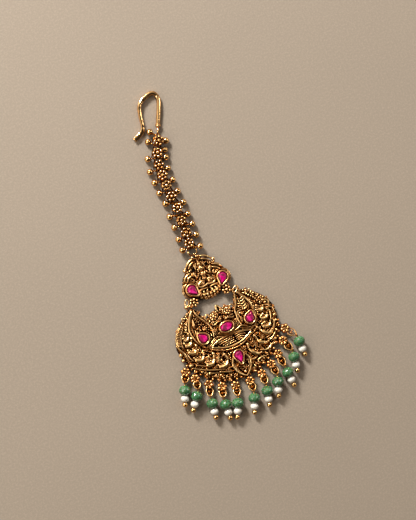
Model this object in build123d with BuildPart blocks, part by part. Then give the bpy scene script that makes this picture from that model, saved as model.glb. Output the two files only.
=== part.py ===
"""Maang tikka: a forehead jewel of antique gold, lying face up on its flat back.

The jewel is a hair hook, a chain of ball-and-flower links, a small bell-shaped plaque with a seated goddess,
and a large crescent plaque with a fringe of green beads and pearls. Millimetres. The origin is the middle of
the crescent's flat back, under its oval stone: +X to the right, +Y towards the hook, +Z out of the face.
"""

from build123d import *
import os
from math import atan2, cos, degrees, radians, sin

os.makedirs("parts", exist_ok=True)

# ---- gaps between the pieces
HANG_GAP = 0.1  # round a wire inside the eye that hangs on it
SEAT_GAP = 0.05  # round a stone in its bezel, and under it
BORE_GAP = 0.1  # between a head pin and the bore of its beads

# ---- chain: each link is a granulated flower on two rails, with a ball-ended bar at its foot
BALL_R = 1.1
BALL_REACH = 3.2  # from the bar's middle to a ball's centre
BAR_R = 0.32
BAR_Z = 1.15
RAIL_R = 0.24
CROSS_R = 0.2
RAIL_REACH = 1.78  # from the bar's middle to where a rail is soldered to it
EYE_REACH = 0.78  # from the bar's middle to an eye that hangs on it
EYE_R = 0.16
EYE_MID_R = BAR_R + HANG_GAP + EYE_R
FLOWER_RING_R = 1.1
PETAL_R = 0.48
PETALS = 7
FLOWER_STEM_R = 0.65
FLOWER_RISE = 0.85  # from the rails up to the flower's underside
FLOWER_THICK = 0.9
OVERLAP = 0.1  # how far soldered pieces run into each other

# The bars as the chain lies, from the hook down: x, y, height of the bar, turn about Z in degrees.
BARS = [
    (5.15, 70.7, BAR_Z, -50),
    (3.35, 67.8, BAR_Z, -48),
    (1.7, 63.8, BAR_Z, -16),
    (0.7, 59.65, BAR_Z, -10),
    (0.6, 55.4, BAR_Z, -13),
    (0.65, 51.25, BAR_Z, -16),
    (1.05, 46.95, BAR_Z, -18),
    (0.7, 42.4, BAR_Z, -13.5),
    (0.7, 38.4, BAR_Z, -10.5),
    (0.4, 34.2, BAR_Z, -7.5),
    (0.0, 30.1, 1.75, -9),
]
# The flowers, one on each link: x, y, and how far it is propped up over what it lies across.
FLOWERS = [
    (4.5, 69.1, 0.65),
    (2.4, 65.4, 0.2),
    (1.3, 61.2, 0.0),
    (0.9, 57.5, 0.0),
    (0.7, 53.6, 0.0),
    (0.8, 49.4, 0.0),
    (1.1, 44.9, 0.0),
    (0.6, 40.3, 0.0),
    (0.4, 35.8, 0.0),
    (0.0, 32.0, 0.0),
]

# ---- hook: round wire that is hammered flat over its top and down to its tail
HOOK_COLLAR = (6.85, 74.3, 1.05)
HOOK_COLLAR_R = 1.0
HOOK_COLLAR_LENGTH = 1.1
HOOK_NECK_R = 0.38
HOOK_EYE_R = 0.26
HOOK_EYE_MID_R = BAR_R + HANG_GAP + HOOK_EYE_R
HOOK_Z = 0.92
# Stations along the wire: x, y, width across in the plane of the loop, height in Z.
HOOK_STATIONS = [
    (7.0, 74.6, 1.4, 1.4),
    (7.6, 75.8, 1.5, 1.5),
    (8.5, 77.5, 1.6, 1.55),
    (9.6, 79.7, 1.6, 1.6),
    (10.5, 81.9, 1.6, 1.6),
    (10.75, 83.9, 1.55, 1.6),
    (9.9, 85.4, 1.5, 1.65),
    (8.4, 85.65, 1.6, 1.7),
    (6.9, 85.15, 1.65, 1.7),
    (5.4, 84.55, 1.6, 1.7),
    (4.1, 83.65, 1.5, 1.7),
    (3.15, 82.35, 1.4, 1.7),
    (2.55, 80.6, 1.25, 1.7),
    (2.1, 78.6, 1.15, 1.7),
    (1.8, 76.7, 1.15, 1.65),
    (1.3, 75.1, 1.3, 1.45),
    (0.3, 74.0, 1.45, 1.15),
    (-1.2, 73.2, 1.65, 0.9),
    (-3.0, 72.6, 1.7, 0.8),
]

# ---- jump ring between the last link and the upper plaque
RING_MID_R = 1.6
RING_WIRE_R = 0.3
RING_X, RING_Y, RING_Z = 0.05, 29.05, 0.95
RING_EYE_MID_R = 0.64
RING_EYE_R = 0.22

# ---- stones and bezels: widths and lengths of the stones, of the bezels round them, and their heights
BEZEL_WALL = 0.75
BEZEL_TOP = 3.1
SEAT_Z = 1.9
STONE_GIRDLE = 0.9  # straight height of a stone inside its bezel
STONE_CROWN = 0.75  # sloping height above it
TABLE_INSET = 0.6  # from the girdle in to the flat table on top
TABLE_TIP_R = 0.15
PEAR_TIP_R = 0.35
UPPER_PEAR = (3.1, 4.2)
HORN_PEAR = (3.1, 3.9)
LEAF_PEAR = (2.9, 4.3)
OVAL = (4.5, 2.9)
OVAL_SEAT_Z = 2.4
OVAL_TOP = 3.6
# Where each pear stands: x, y of its round end's centre, turn of its tip from +Y in degrees.
UPPER_STONE = (6.0, 16.6, 148)
HORN_STONE = (9.0, -0.6, -32)
LEAF_STONE = (0.0, -10.8, 180)

# ---- upper plaque
UPPER_PLATE = 1.3
UPPER_FLANK = [
    (0, 26.9),
    (1.4, 26.5),
    (4.3, 24.1),
    (5.6, 22.5),
    (6.9, 21.6),
    (8.1, 19.6),
    (8.5, 16.9),
    (7.2, 14.4),
    (5.3, 13.5),
]
UPPER_FOOT_MIDDLE = (3.7, 12.0)
UPPER_FOOT = (0, 11.2)
UPPER_BAR_Z = 1.6
UPPER_BAR_R = 0.42
# Smooth bars of one side, from the top to the shoulder: x and y of each end.
UPPER_BARS = [
    ((0.9, 26.2), (4.9, 22.9)),
    ((0.6, 25.0), (4.2, 22.2)),
    ((4.6, 21.9), (7.5, 19.6)),
]
SHOULDER_BALL = (4.9, 22.9)
SHOULDER_BALL_R = 0.75
WINDOW_AT = (2.7, 22.6)
WINDOW_R = 0.6
FOOT_BEAD_R = 0.4
FOOT_BEADS = 11
FOOT_BEADS_REACH = 5.2
FOOT_BEADS_Y = 12.3
FOOT_BEADS_RISE = 1.5  # of the last bead over the middle one
LUG_MID_R = 0.8
LUG_WIRE = 0.44
LUG_Z = 0.95
UPPER_LUG = (6.3, 13.4)
LOWER_LUG = (9.1, 10.9)

# ---- seated goddess: plain masses on the middle line, all above the plate
HEAD_R = 0.95
HEAD = (0, 22.7, 2.3)
CROWN_FOOT = (0, 23.2, 2.0)
CROWN_R = 0.76
CROWN_TIP_R = 0.2
CROWN_HEIGHT = 1.9
TORSO_R = 1.0
WAIST = (0, 17.6, 2.0)
NECK = (0, 21.6, 2.0)
ARM_R = 0.42
SHOULDER = (0.8, 21.2, 2.0)
ELBOW = (2.3, 19.6, 1.8)
HAND = (2.6, 21.4, 1.8)
LEG_R = 0.75
KNEE = (2.9, 17.7, 1.9)
LOTUS_R = 0.8
LOTUS_END = (4.6, 15.9, 1.6)

# ---- connectors: a granulated flower between the plaques, with an eye at each end
CONNECTOR_AT = (6.1, 12.3)
CONNECTOR_FLOWER_Z = 1.8
CONNECTOR_RING_R = 1.0
CONNECTOR_PETAL_R = 0.45
CONNECTOR_EYE_MID_R = 0.6
CONNECTOR_EYE_R = 0.2

# ---- lower plaque
PLATE = 1.3
RAISED = 2.0  # top of the raised middle
BORDER_TOP = 2.9
BORDER_WIDTH = 0.6
BAY_EDGE = [
    (0, 8.2),
    (1.2, 6.9),
    (2.7, 6.7),
    (4.4, 5.9),
    (5.3, 4.9),
    (6.3, 6.6),
    (7.2, 9.3),
    (8.2, 10.4),
    (10.2, 10.3),
]
SHOULDER_MIDDLE = (15.9, 5.9)
FOOT_CENTRE_Y = 1.0
FOOT_R = 19.3
FOOT_HALF_ANGLE = 75
HORN_TIP = (7.9, 9.8)
HORN_FOOT = (8.1, -4.4)
HORN_OUTER = (12.2, 1.8)
HORN_INNER = (5.2, 1.0)
BOAT_END = (8.2, -4.5)
BOAT_LOWER = (0, -7.9)
BOAT_UPPER = (0, -3.0)
BUD_AT = (0, 6.8)
BUD_R = 0.95
BUD_HOLE_R = 0.4
CREST_FLOWER = (2.7, 5.0)
CREST_FLOWER_R = 1.45
CREST_LOOP = (4.7, 5.0)
CREST_LOOP_R = 1.0
CREST_TOP = 2.4
HANGING_LEAF = (0.0, -11.0, 180)
HANGING_LEAF_SIZE = (5.9, 10.2)
HANGING_LEAF_TIP_R = 0.8
HANGING_LEAF_TOP = 2.6
# Wave scrolls of one side, from the shoulder to the middle: x, y, mid radius, width, turn in degrees.
SCROLLS = [
    (14.6, 5.4, 0.8, 0.8, 150),
    (15.0, 3.2, 0.9, 0.85, 155),
    (15.2, 0.6, 1.0, 0.95, 160),
    (15.0, -2.4, 1.1, 1.05, 165),
    (13.7, -5.6, 1.3, 1.15, 175),
    (11.0, -8.6, 1.5, 1.25, 185),
    (7.0, -11.4, 1.7, 1.35, 200),
]
SCROLL_SWEEP = 230
SCROLL_TOP = 2.5
RIM_R = 18.3
RIM_WIDTH = 1.0
RIM_TOP = 1.8
RIM_HALF_ANGLE = 58

# ---- fringe: rosettes on an arc round the lower plaque, each with a leaf loop and a bead drop
ROSETTE_ARC_R = 21.75
ROSETTE_Z = 0.55
ROSETTE_THICK = 1.0
ROSETTE_RING_R = 0.95
ROSETTE_GRANULE_R = 0.45
NECK_R = 0.65
NECK_RISE = 0.3
NECK_SINK = 1.0  # how far a neck reaches in under the rim wire
LEAF_WIDTH = 2.8
LEAF_WIRE = 0.45
LEAF_ROOT_Z = 1.2
LEAF_TIP_Z = 2.35
LEAF_ROUND_AT = 0.48  # where the leaf's round end is centred, as a share of its reach
LEAF_TIP_R = 0.78
GREEN_R = 2.12
GREEN_HALF = 1.75
PEARL_R = 1.47
PEARL_HALF = 1.1
PEARL_ROUND = 0.9
BORE_R = 0.4
PIN_R = BORE_R - BORE_GAP
PIN_EYE_MID_R = 0.66
PIN_EYE_R = 0.13
END_BALL_R = 0.92
BEAD_SPACE = 0.05
FLOOR_GAP = 0.02  # under a green bead
GREEN_AT = PIN_EYE_MID_R + PIN_EYE_R + BEAD_SPACE + GREEN_HALF  # along the pin, from its eye
PEARL_AT = GREEN_AT + GREEN_HALF + BEAD_SPACE + PEARL_HALF
END_BALL_AT = PEARL_AT + PEARL_HALF + END_BALL_R
GREEN_Z = GREEN_R + FLOOR_GAP
# Drops from left to right, all in degrees and millimetres: angle of the rosette on the arc, turn of the leaf
# loop, reach of the leaf from the rosette's centre to its tip, and swing of the pin.
DROPS = [
    (-63.4, -31, 3.65, -23),
    (-52.8, -8, 3.6, -37),
    (-39.1, -18, 4.1, -8),
    (-26.5, -20, 3.75, -4),
    (-13.8, -12, 3.5, -25),
    (0.6, -4, 3.6, -22),
    (13.7, -3, 3.75, -14),
    (26.3, 5, 4.1, -20),
    (37.8, 3, 4.7, 4),
    (51, 20, 4.5, -9),
    (62.5, 37, 4.5, 1),
]


def rod(start, end, radius):
    """Adds a straight round rod between two points."""
    run = Vector(end) - Vector(start)
    with Locations(Plane(origin=start, z_dir=run)):
        Cylinder(radius, run.length, align=(Align.CENTER, Align.CENTER, Align.MIN))


def eye(at, turn, mid_radius, wire_radius):
    """Adds a standing eye whose hole looks along the direction turned by so many degrees from +X."""
    with BuildSketch(Plane(origin=at, z_dir=(cos(radians(turn)), sin(radians(turn)), 0))) as ring:
        Circle(mid_radius + wire_radius)
        Circle(mid_radius - wire_radius, mode=Mode.SUBTRACT)
    extrude(to_extrude=ring.sketch, amount=wire_radius, both=True)


def eye_foot(at, turn, mid_radius, towards):
    """The point on an eye's wire that is nearest to another point."""
    hole_way = Vector(cos(radians(turn)), sin(radians(turn)), 0)
    way = towards - at
    in_plane = way - hole_way * way.dot(hole_way)
    return at + in_plane.normalized() * mid_radius


def lug(x, y):
    """Adds a flat ring that lies level, for a connector's eye."""
    with BuildSketch(Plane.XY.offset(LUG_Z - LUG_WIRE / 2)) as ring:
        with Locations((x, y)):
            Circle(LUG_MID_R + LUG_WIRE / 2)
            Circle(LUG_MID_R - LUG_WIRE / 2, mode=Mode.SUBTRACT)
    extrude(to_extrude=ring.sketch, amount=LUG_WIRE)


def flower(x, y, base_z, thickness, ring_radius, petal_radius):
    """Adds a flower: a disc with round petals about its edge, and a raised middle."""
    with BuildSketch(Plane.XY.offset(base_z)) as petals:
        with Locations((x, y)):
            Circle(ring_radius)
            with PolarLocations(ring_radius, PETALS):
                Circle(petal_radius)
    extrude(to_extrude=petals.sketch, amount=thickness)
    with BuildSketch(Plane.XY.offset(base_z)) as middle:
        with Locations((x, y)):
            Circle(petal_radius)
    extrude(to_extrude=middle.sketch, amount=thickness + petal_radius)


def pear(width, length, grow, tip_radius=PEAR_TIP_R):
    """Draws a pear outline round its big end's centre, with its tip to +Y, larger by grow all round."""
    reach = length - width / 2 - tip_radius
    Circle(width / 2 + grow)
    with Locations((0, reach)):
        Circle(tip_radius + grow)
    make_hull()


def pear_plane(place, z):
    """The plane of a pear stone at a height, with +Y towards its tip; place is x, y and the tip's turn."""
    x, y, turn = place
    return Plane((x, y, z), x_dir=(cos(radians(turn)), sin(radians(turn)), 0))


def bezel(place, size):
    """Adds the bezel for a pear stone and cuts its seat."""
    with BuildSketch(pear_plane(place, 0)) as wall:
        pear(*size, BEZEL_WALL)
    extrude(to_extrude=wall.sketch, amount=BEZEL_TOP)
    with BuildSketch(pear_plane(place, SEAT_Z)) as seat:
        pear(*size, SEAT_GAP)
    extrude(to_extrude=seat.sketch, amount=BEZEL_TOP, mode=Mode.SUBTRACT)


def sided(point, side):
    """The same point on the right side, or on the left for a side of -1."""
    return (side * point[0], point[1], point[2])


def mirrored(place):
    """The same stone's place on the left side."""
    x, y, turn = place
    return (-x, y, -turn)


def leaf_plane(rosette, turn, reach):
    """The sloping plane of a leaf loop, from its rosette's centre, with +Y towards the tip."""
    tip = along(rosette, turn, reach)
    root = Vector(*rosette, LEAF_ROOT_Z)
    run = Vector(*tip, LEAF_TIP_Z) - root
    level = Vector(-run.Y, run.X, 0)
    return Plane(origin=root, x_dir=-level, z_dir=run.cross(level))


def leaf_outline(reach, grow, mode=Mode.ADD):
    """Draws a leaf loop's outline from its rosette's centre to its tip at +Y, larger by grow all round."""
    with BuildSketch(mode=Mode.PRIVATE) as outline:
        with Locations((0, reach * LEAF_ROUND_AT)):
            Circle(LEAF_WIDTH / 2 + grow)
        with Locations((0, reach + LEAF_WIRE / 2 - LEAF_TIP_R)):
            Circle(LEAF_TIP_R + grow)
        make_hull()
    add(outline.sketch, mode=mode)


def along(start, turn, distance):
    """The point at a distance from start, in the direction turned from -Y towards +X."""
    return (start[0] + distance * sin(radians(turn)), start[1] - distance * cos(radians(turn)))


def on_bar(bar, distance):
    """The point on a chain bar at a distance from its middle."""
    x, y, z, turn = bar
    return (x + distance * cos(radians(turn)), y + distance * sin(radians(turn)), z)


def ball_bar(bar):
    """Adds a chain bar with a ball on each end, turned about its own line."""
    x, y, z, turn = bar
    run = (cos(radians(turn)), sin(radians(turn)), 0)
    with BuildSketch(Plane(origin=(x, y, z), x_dir=run, z_dir=(run[1], -run[0], 0))) as half:
        Rectangle(2 * BALL_REACH, BAR_R, align=(Align.CENTER, Align.MIN))
        with Locations((-BALL_REACH, 0), (BALL_REACH, 0)):
            Circle(BALL_R)
        Rectangle(4 * BALL_REACH, 2 * BALL_R, align=(Align.CENTER, Align.MAX), mode=Mode.SUBTRACT)
    revolve(half.sketch, axis=Axis((x, y, z), run))


# ---- hair hook, with a collar and an eye round the first bar
with BuildPart() as hook:
    x, y, z, turn = BARS[0]
    eye((x, y, z), turn, HOOK_EYE_MID_R, HOOK_EYE_R)
    rod(eye_foot(Vector(x, y, z), turn, HOOK_EYE_MID_R, Vector(*HOOK_COLLAR)), HOOK_COLLAR, HOOK_NECK_R)
    lean = Vector(HOOK_STATIONS[1][0], HOOK_STATIONS[1][1], HOOK_COLLAR[2]) - Vector(*HOOK_COLLAR)
    with Locations(Plane(origin=HOOK_COLLAR, z_dir=lean)):
        Cylinder(HOOK_COLLAR_R, HOOK_COLLAR_LENGTH)
    last = len(HOOK_STATIONS) - 1
    for index, (x, y, width, height) in enumerate(HOOK_STATIONS):
        before = HOOK_STATIONS[max(index - 1, 0)]
        after = HOOK_STATIONS[min(index + 1, last)]
        heading = Vector(after[0] - before[0], after[1] - before[1], 0)
        with BuildSketch(Plane((x, y, HOOK_Z), x_dir=(0, 0, 1), z_dir=heading)):
            Ellipse(height / 2, width / 2)
    loft()
hook.part.label = "hook"
export_step(hook.part, "parts/hook.step")

# ---- first bar of the chain, which the hook's eye and the first link hang on
with BuildPart() as top_bar:
    ball_bar(BARS[0])
top_bar.part.label = "top_bar"
export_step(top_bar.part, "parts/top_bar.step")

# ---- chain links: eyes round the bar above, rails, a cross piece with the flower, and a ball-ended bar
for number in range(1, len(BARS)):
    upper = BARS[number - 1]
    lower = BARS[number]
    flower_x, flower_y, prop = FLOWERS[number - 1]
    with BuildPart() as link:
        ball_bar(lower)
        axis = Vector(*on_bar(upper, 0)) - Vector(*on_bar(lower, 0))
        to_flower = Vector(flower_x, flower_y, lower[2]) - Vector(*on_bar(lower, 0))
        share = to_flower.dot(axis) / axis.dot(axis)
        crossing = []
        for side in (-1, 1):
            low = Vector(*on_bar(lower, side * RAIL_REACH))
            high = Vector(*on_bar(upper, side * EYE_REACH))
            eye(high, upper[3], EYE_MID_R, EYE_R)
            rod(low, eye_foot(high, upper[3], EYE_MID_R, low), RAIL_R)
            crossing.append(low + (high - low) * share)
        rod(crossing[0], crossing[1], CROSS_R)
        stem_z = (crossing[0].Z + crossing[1].Z) / 2
        base_z = stem_z + FLOWER_RISE + prop
        rod((flower_x, flower_y, stem_z - OVERLAP), (flower_x, flower_y, base_z + OVERLAP), FLOWER_STEM_R)
        flower(flower_x, flower_y, base_z, FLOWER_THICK, FLOWER_RING_R, PETAL_R)
        if lower is BARS[-1]:
            eye((RING_X, RING_Y + RING_MID_R, RING_Z), 0, RING_EYE_MID_R, RING_EYE_R)
    link.part.label = f"chain_link_{number:02d}"
    export_step(link.part, f"parts/chain_link_{number:02d}.step")

# ---- jump ring under the chain
with BuildPart() as top_ring:
    with Locations((RING_X, RING_Y, RING_Z)):
        Torus(RING_MID_R, RING_WIRE_R)
top_ring.part.label = "top_ring"
export_step(top_ring.part, "parts/top_ring.step")

# ---- upper plaque
with BuildPart() as upper_pendant:
    with BuildSketch():
        with BuildLine():
            Polyline(*UPPER_FLANK)
            ThreePointArc(UPPER_FLANK[-1], UPPER_FOOT_MIDDLE, UPPER_FOOT)
            mirror(about=Plane.YZ)
        make_face()
    extrude(amount=UPPER_PLATE)
    with Locations((WINDOW_AT[0], WINDOW_AT[1], 0), (-WINDOW_AT[0], WINDOW_AT[1], 0)):
        Cylinder(WINDOW_R, UPPER_PLATE * 2, mode=Mode.SUBTRACT)
    for side in (-1, 1):
        for start, end in UPPER_BARS:
            rod(sided((*start, UPPER_BAR_Z), side), sided((*end, UPPER_BAR_Z), side), UPPER_BAR_R)
        with Locations((side * SHOULDER_BALL[0], SHOULDER_BALL[1], UPPER_BAR_Z)):
            Sphere(SHOULDER_BALL_R)
        lug(side * UPPER_LUG[0], UPPER_LUG[1])
    with Locations(HEAD):
        Sphere(HEAD_R)
    with Locations(Plane(CROWN_FOOT, z_dir=(0, 1, 0))):
        Cone(CROWN_R, CROWN_TIP_R, CROWN_HEIGHT, align=(Align.CENTER, Align.CENTER, Align.MIN))
    rod(WAIST, NECK, TORSO_R)
    rod(sided(KNEE, -1), KNEE, LEG_R)
    rod(sided(LOTUS_END, -1), LOTUS_END, LOTUS_R)
    for side in (-1, 1):
        rod(sided(SHOULDER, side), sided(ELBOW, side), ARM_R)
        rod(sided(ELBOW, side), sided(HAND, side), ARM_R)
        with Locations(sided(ELBOW, side)):
            Sphere(ARM_R)
        with Locations(sided(KNEE, side)):
            Sphere(LEG_R)
    for step in range(FOOT_BEADS):
        share = 2 * step / (FOOT_BEADS - 1) - 1
        bead_y = FOOT_BEADS_Y + FOOT_BEADS_RISE * share * share
        with Locations((FOOT_BEADS_REACH * share, bead_y, UPPER_PLATE)):
            Sphere(FOOT_BEAD_R)
    eye((RING_X, RING_Y - RING_MID_R, RING_Z), 0, RING_EYE_MID_R, RING_EYE_R)
    bezel(UPPER_STONE, UPPER_PEAR)
    bezel(mirrored(UPPER_STONE), UPPER_PEAR)
upper_pendant.part.label = "upper_pendant"
export_step(upper_pendant.part, "parts/upper_pendant.step")

# ---- connectors between the plaques: an eye round each lug, and wires from both up to the flower
for side, name in ((-1, "connector_left"), (1, "connector_right")):
    x, y = side * CONNECTOR_AT[0], CONNECTOR_AT[1]
    with BuildPart() as connector:
        flower(x, y, CONNECTOR_FLOWER_Z, FLOWER_THICK, CONNECTOR_RING_R, CONNECTOR_PETAL_R)
        for lug_x, lug_y in (UPPER_LUG, LOWER_LUG):
            inward = Vector(x - side * lug_x, y - lug_y, 0).normalized()
            hang = Vector(side * lug_x, lug_y, LUG_Z) + inward * LUG_MID_R
            turn = degrees(atan2(inward.Y, inward.X)) + 90
            flower_foot = Vector(x, y, CONNECTOR_FLOWER_Z + OVERLAP)
            eye(hang, turn, CONNECTOR_EYE_MID_R, CONNECTOR_EYE_R)
            rod(eye_foot(hang, turn, CONNECTOR_EYE_MID_R, flower_foot), flower_foot, CONNECTOR_EYE_R)
    connector.part.label = name
    export_step(connector.part, f"parts/{name}.step")

# ---- lower plaque
with BuildPart() as lower_pendant:
    with BuildSketch():
        with BuildLine():
            Polyline(*BAY_EDGE)
            foot_end = along((0, FOOT_CENTRE_Y), FOOT_HALF_ANGLE, FOOT_R)
            ThreePointArc(BAY_EDGE[-1], SHOULDER_MIDDLE, foot_end)
            mirror(about=Plane.YZ)
            CenterArc((0, FOOT_CENTRE_Y), FOOT_R, -90 - FOOT_HALF_ANGLE, 2 * FOOT_HALF_ANGLE)
        make_face()
    extrude(amount=PLATE)
    # The leaf-shaped horns and the boat between them: raised ground inside a raised border.
    for side in (-1, 1):
        with BuildSketch() as horn:
            with BuildLine():
                tip = (side * HORN_TIP[0], HORN_TIP[1])
                foot = (side * HORN_FOOT[0], HORN_FOOT[1])
                ThreePointArc(tip, (side * HORN_OUTER[0], HORN_OUTER[1]), foot)
                ThreePointArc(foot, (side * HORN_INNER[0], HORN_INNER[1]), tip)
            make_face()
        extrude(to_extrude=horn.sketch, amount=RAISED)
        with BuildSketch() as horn_border:
            add(horn.sketch)
            offset(horn.sketch, amount=-BORDER_WIDTH, mode=Mode.SUBTRACT)
        extrude(to_extrude=horn_border.sketch, amount=BORDER_TOP)
    with BuildSketch() as boat:
        with BuildLine():
            left_end = (-BOAT_END[0], BOAT_END[1])
            ThreePointArc(left_end, BOAT_LOWER, BOAT_END)
            ThreePointArc(BOAT_END, BOAT_UPPER, left_end)
        make_face()
    extrude(to_extrude=boat.sketch, amount=RAISED)
    with BuildSketch() as boat_border:
        add(boat.sketch)
        offset(boat.sketch, amount=-BORDER_WIDTH, mode=Mode.SUBTRACT)
    extrude(to_extrude=boat_border.sketch, amount=BORDER_TOP)
    # The crest over the oval stone: a pierced bud, two flowers and two loops.
    with BuildSketch() as crest:
        with Locations(BUD_AT):
            Circle(BUD_R)
            Circle(BUD_HOLE_R, mode=Mode.SUBTRACT)
        for side in (-1, 1):
            with Locations((side * CREST_FLOWER[0], CREST_FLOWER[1])):
                Circle(CREST_FLOWER_R)
            with Locations((side * CREST_LOOP[0], CREST_LOOP[1])):
                Circle(CREST_LOOP_R)
                Circle(CREST_LOOP_R / 2, mode=Mode.SUBTRACT)
    extrude(to_extrude=crest.sketch, amount=CREST_TOP)
    # The hanging leaf, under the crescent's middle.
    with BuildSketch(pear_plane(HANGING_LEAF, 0)) as hanging_leaf:
        pear(*HANGING_LEAF_SIZE, 0, HANGING_LEAF_TIP_R)
    extrude(to_extrude=hanging_leaf.sketch, amount=HANGING_LEAF_TOP)
    with BuildSketch(pear_plane(HANGING_LEAF, RAISED)) as leaf_floor:
        pear(*HANGING_LEAF_SIZE, -BORDER_WIDTH, HANGING_LEAF_TIP_R)
    extrude(to_extrude=leaf_floor.sketch, amount=BORDER_TOP, mode=Mode.SUBTRACT)
    # Wave scrolls, and the wire along the rim.
    with BuildSketch() as scrolls:
        for x, y, mid_radius, width, turn in SCROLLS:
            curl = CenterArc((0, 0), mid_radius, 0, SCROLL_SWEEP, mode=Mode.PRIVATE)
            with Locations(Location((x, y, 0), (0, 0, turn))):
                SlotArc(curl, width)
            with Locations(Location((-x, y, 0), (0, 0, 180 - turn - SCROLL_SWEEP))):
                SlotArc(curl, width)
    extrude(to_extrude=scrolls.sketch, amount=SCROLL_TOP)
    with BuildSketch() as rim:
        rim_start = -90 - RIM_HALF_ANGLE
        rim_arc = CenterArc((0, FOOT_CENTRE_Y), RIM_R, rim_start, 2 * RIM_HALF_ANGLE, mode=Mode.PRIVATE)
        SlotArc(rim_arc, RIM_WIDTH)
    extrude(to_extrude=rim.sketch, amount=RIM_TOP)
    # Lugs at the shoulders, for the connectors.
    for side in (-1, 1):
        lug(side * LOWER_LUG[0], LOWER_LUG[1])
    # Rosettes round the rim on short necks, each with its leaf loop.
    for angle, leaf_turn, reach, swing in DROPS:
        x, y = along((0, FOOT_CENTRE_Y), angle, ROSETTE_ARC_R)
        inner = along((0, FOOT_CENTRE_Y), angle, RIM_R - NECK_SINK)
        rod((*inner, NECK_R), (x, y, NECK_R + NECK_RISE), NECK_R)
        flower(x, y, ROSETTE_Z, ROSETTE_THICK, ROSETTE_RING_R, ROSETTE_GRANULE_R)
        with BuildSketch(leaf_plane((x, y), leaf_turn, reach)) as loop:
            leaf_outline(reach, 0)
            leaf_outline(reach, -LEAF_WIRE, Mode.SUBTRACT)
        extrude(to_extrude=loop.sketch, amount=LEAF_WIRE / 2, both=True)
    # Bezels last, so that their seats stay clear.
    bezel(HORN_STONE, HORN_PEAR)
    bezel(mirrored(HORN_STONE), HORN_PEAR)
    bezel(LEAF_STONE, LEAF_PEAR)
    with BuildSketch() as oval_wall:
        Ellipse(OVAL[0] / 2 + BEZEL_WALL, OVAL[1] / 2 + BEZEL_WALL)
    extrude(to_extrude=oval_wall.sketch, amount=OVAL_TOP)
    with BuildSketch(Plane.XY.offset(OVAL_SEAT_Z)) as oval_seat:
        Ellipse(OVAL[0] / 2 + SEAT_GAP, OVAL[1] / 2 + SEAT_GAP)
    extrude(to_extrude=oval_seat.sketch, amount=OVAL_TOP, mode=Mode.SUBTRACT)
lower_pendant.part.label = "lower_pendant"
export_step(lower_pendant.part, "parts/lower_pendant.step")

# ---- stones: a straight girdle in the bezel and a sloping crown
PEAR_STONES = (
    ("upper_stone_left", mirrored(UPPER_STONE), UPPER_PEAR),
    ("upper_stone_right", UPPER_STONE, UPPER_PEAR),
    ("horn_stone_left", mirrored(HORN_STONE), HORN_PEAR),
    ("horn_stone_right", HORN_STONE, HORN_PEAR),
    ("leaf_stone", LEAF_STONE, LEAF_PEAR),
)
for name, place, size in PEAR_STONES:
    with BuildPart() as stone:
        foot_z = SEAT_Z + SEAT_GAP
        with BuildSketch(pear_plane(place, foot_z)) as girdle:
            pear(*size, 0)
        extrude(to_extrude=girdle.sketch, amount=STONE_GIRDLE)
        with BuildSketch(pear_plane(place, foot_z + STONE_GIRDLE)) as crown:
            pear(*size, 0)
        with BuildSketch(pear_plane(place, foot_z + STONE_GIRDLE + STONE_CROWN)) as table:
            pear(size[0] - 2 * TABLE_INSET, size[1] - 2 * TABLE_INSET, 0, TABLE_TIP_R)
        loft([crown.sketch, table.sketch])
    stone.part.label = name
    export_step(stone.part, f"parts/{name}.step")

with BuildPart() as centre_stone:
    with BuildSketch(Plane.XY.offset(OVAL_SEAT_Z + SEAT_GAP)) as girdle:
        Ellipse(OVAL[0] / 2, OVAL[1] / 2)
    extrude(to_extrude=girdle.sketch, amount=STONE_GIRDLE)
    with BuildSketch(Plane.XY.offset(OVAL_SEAT_Z + SEAT_GAP + STONE_GIRDLE)) as crown:
        Ellipse(OVAL[0] / 2, OVAL[1] / 2)
    with BuildSketch(Plane.XY.offset(OVAL_SEAT_Z + SEAT_GAP + STONE_GIRDLE + STONE_CROWN)) as table:
        Ellipse(OVAL[0] / 2 - TABLE_INSET, OVAL[1] / 2 - TABLE_INSET)
    loft([crown.sketch, table.sketch])
centre_stone.part.label = "centre_stone"
export_step(centre_stone.part, "parts/centre_stone.step")

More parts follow.
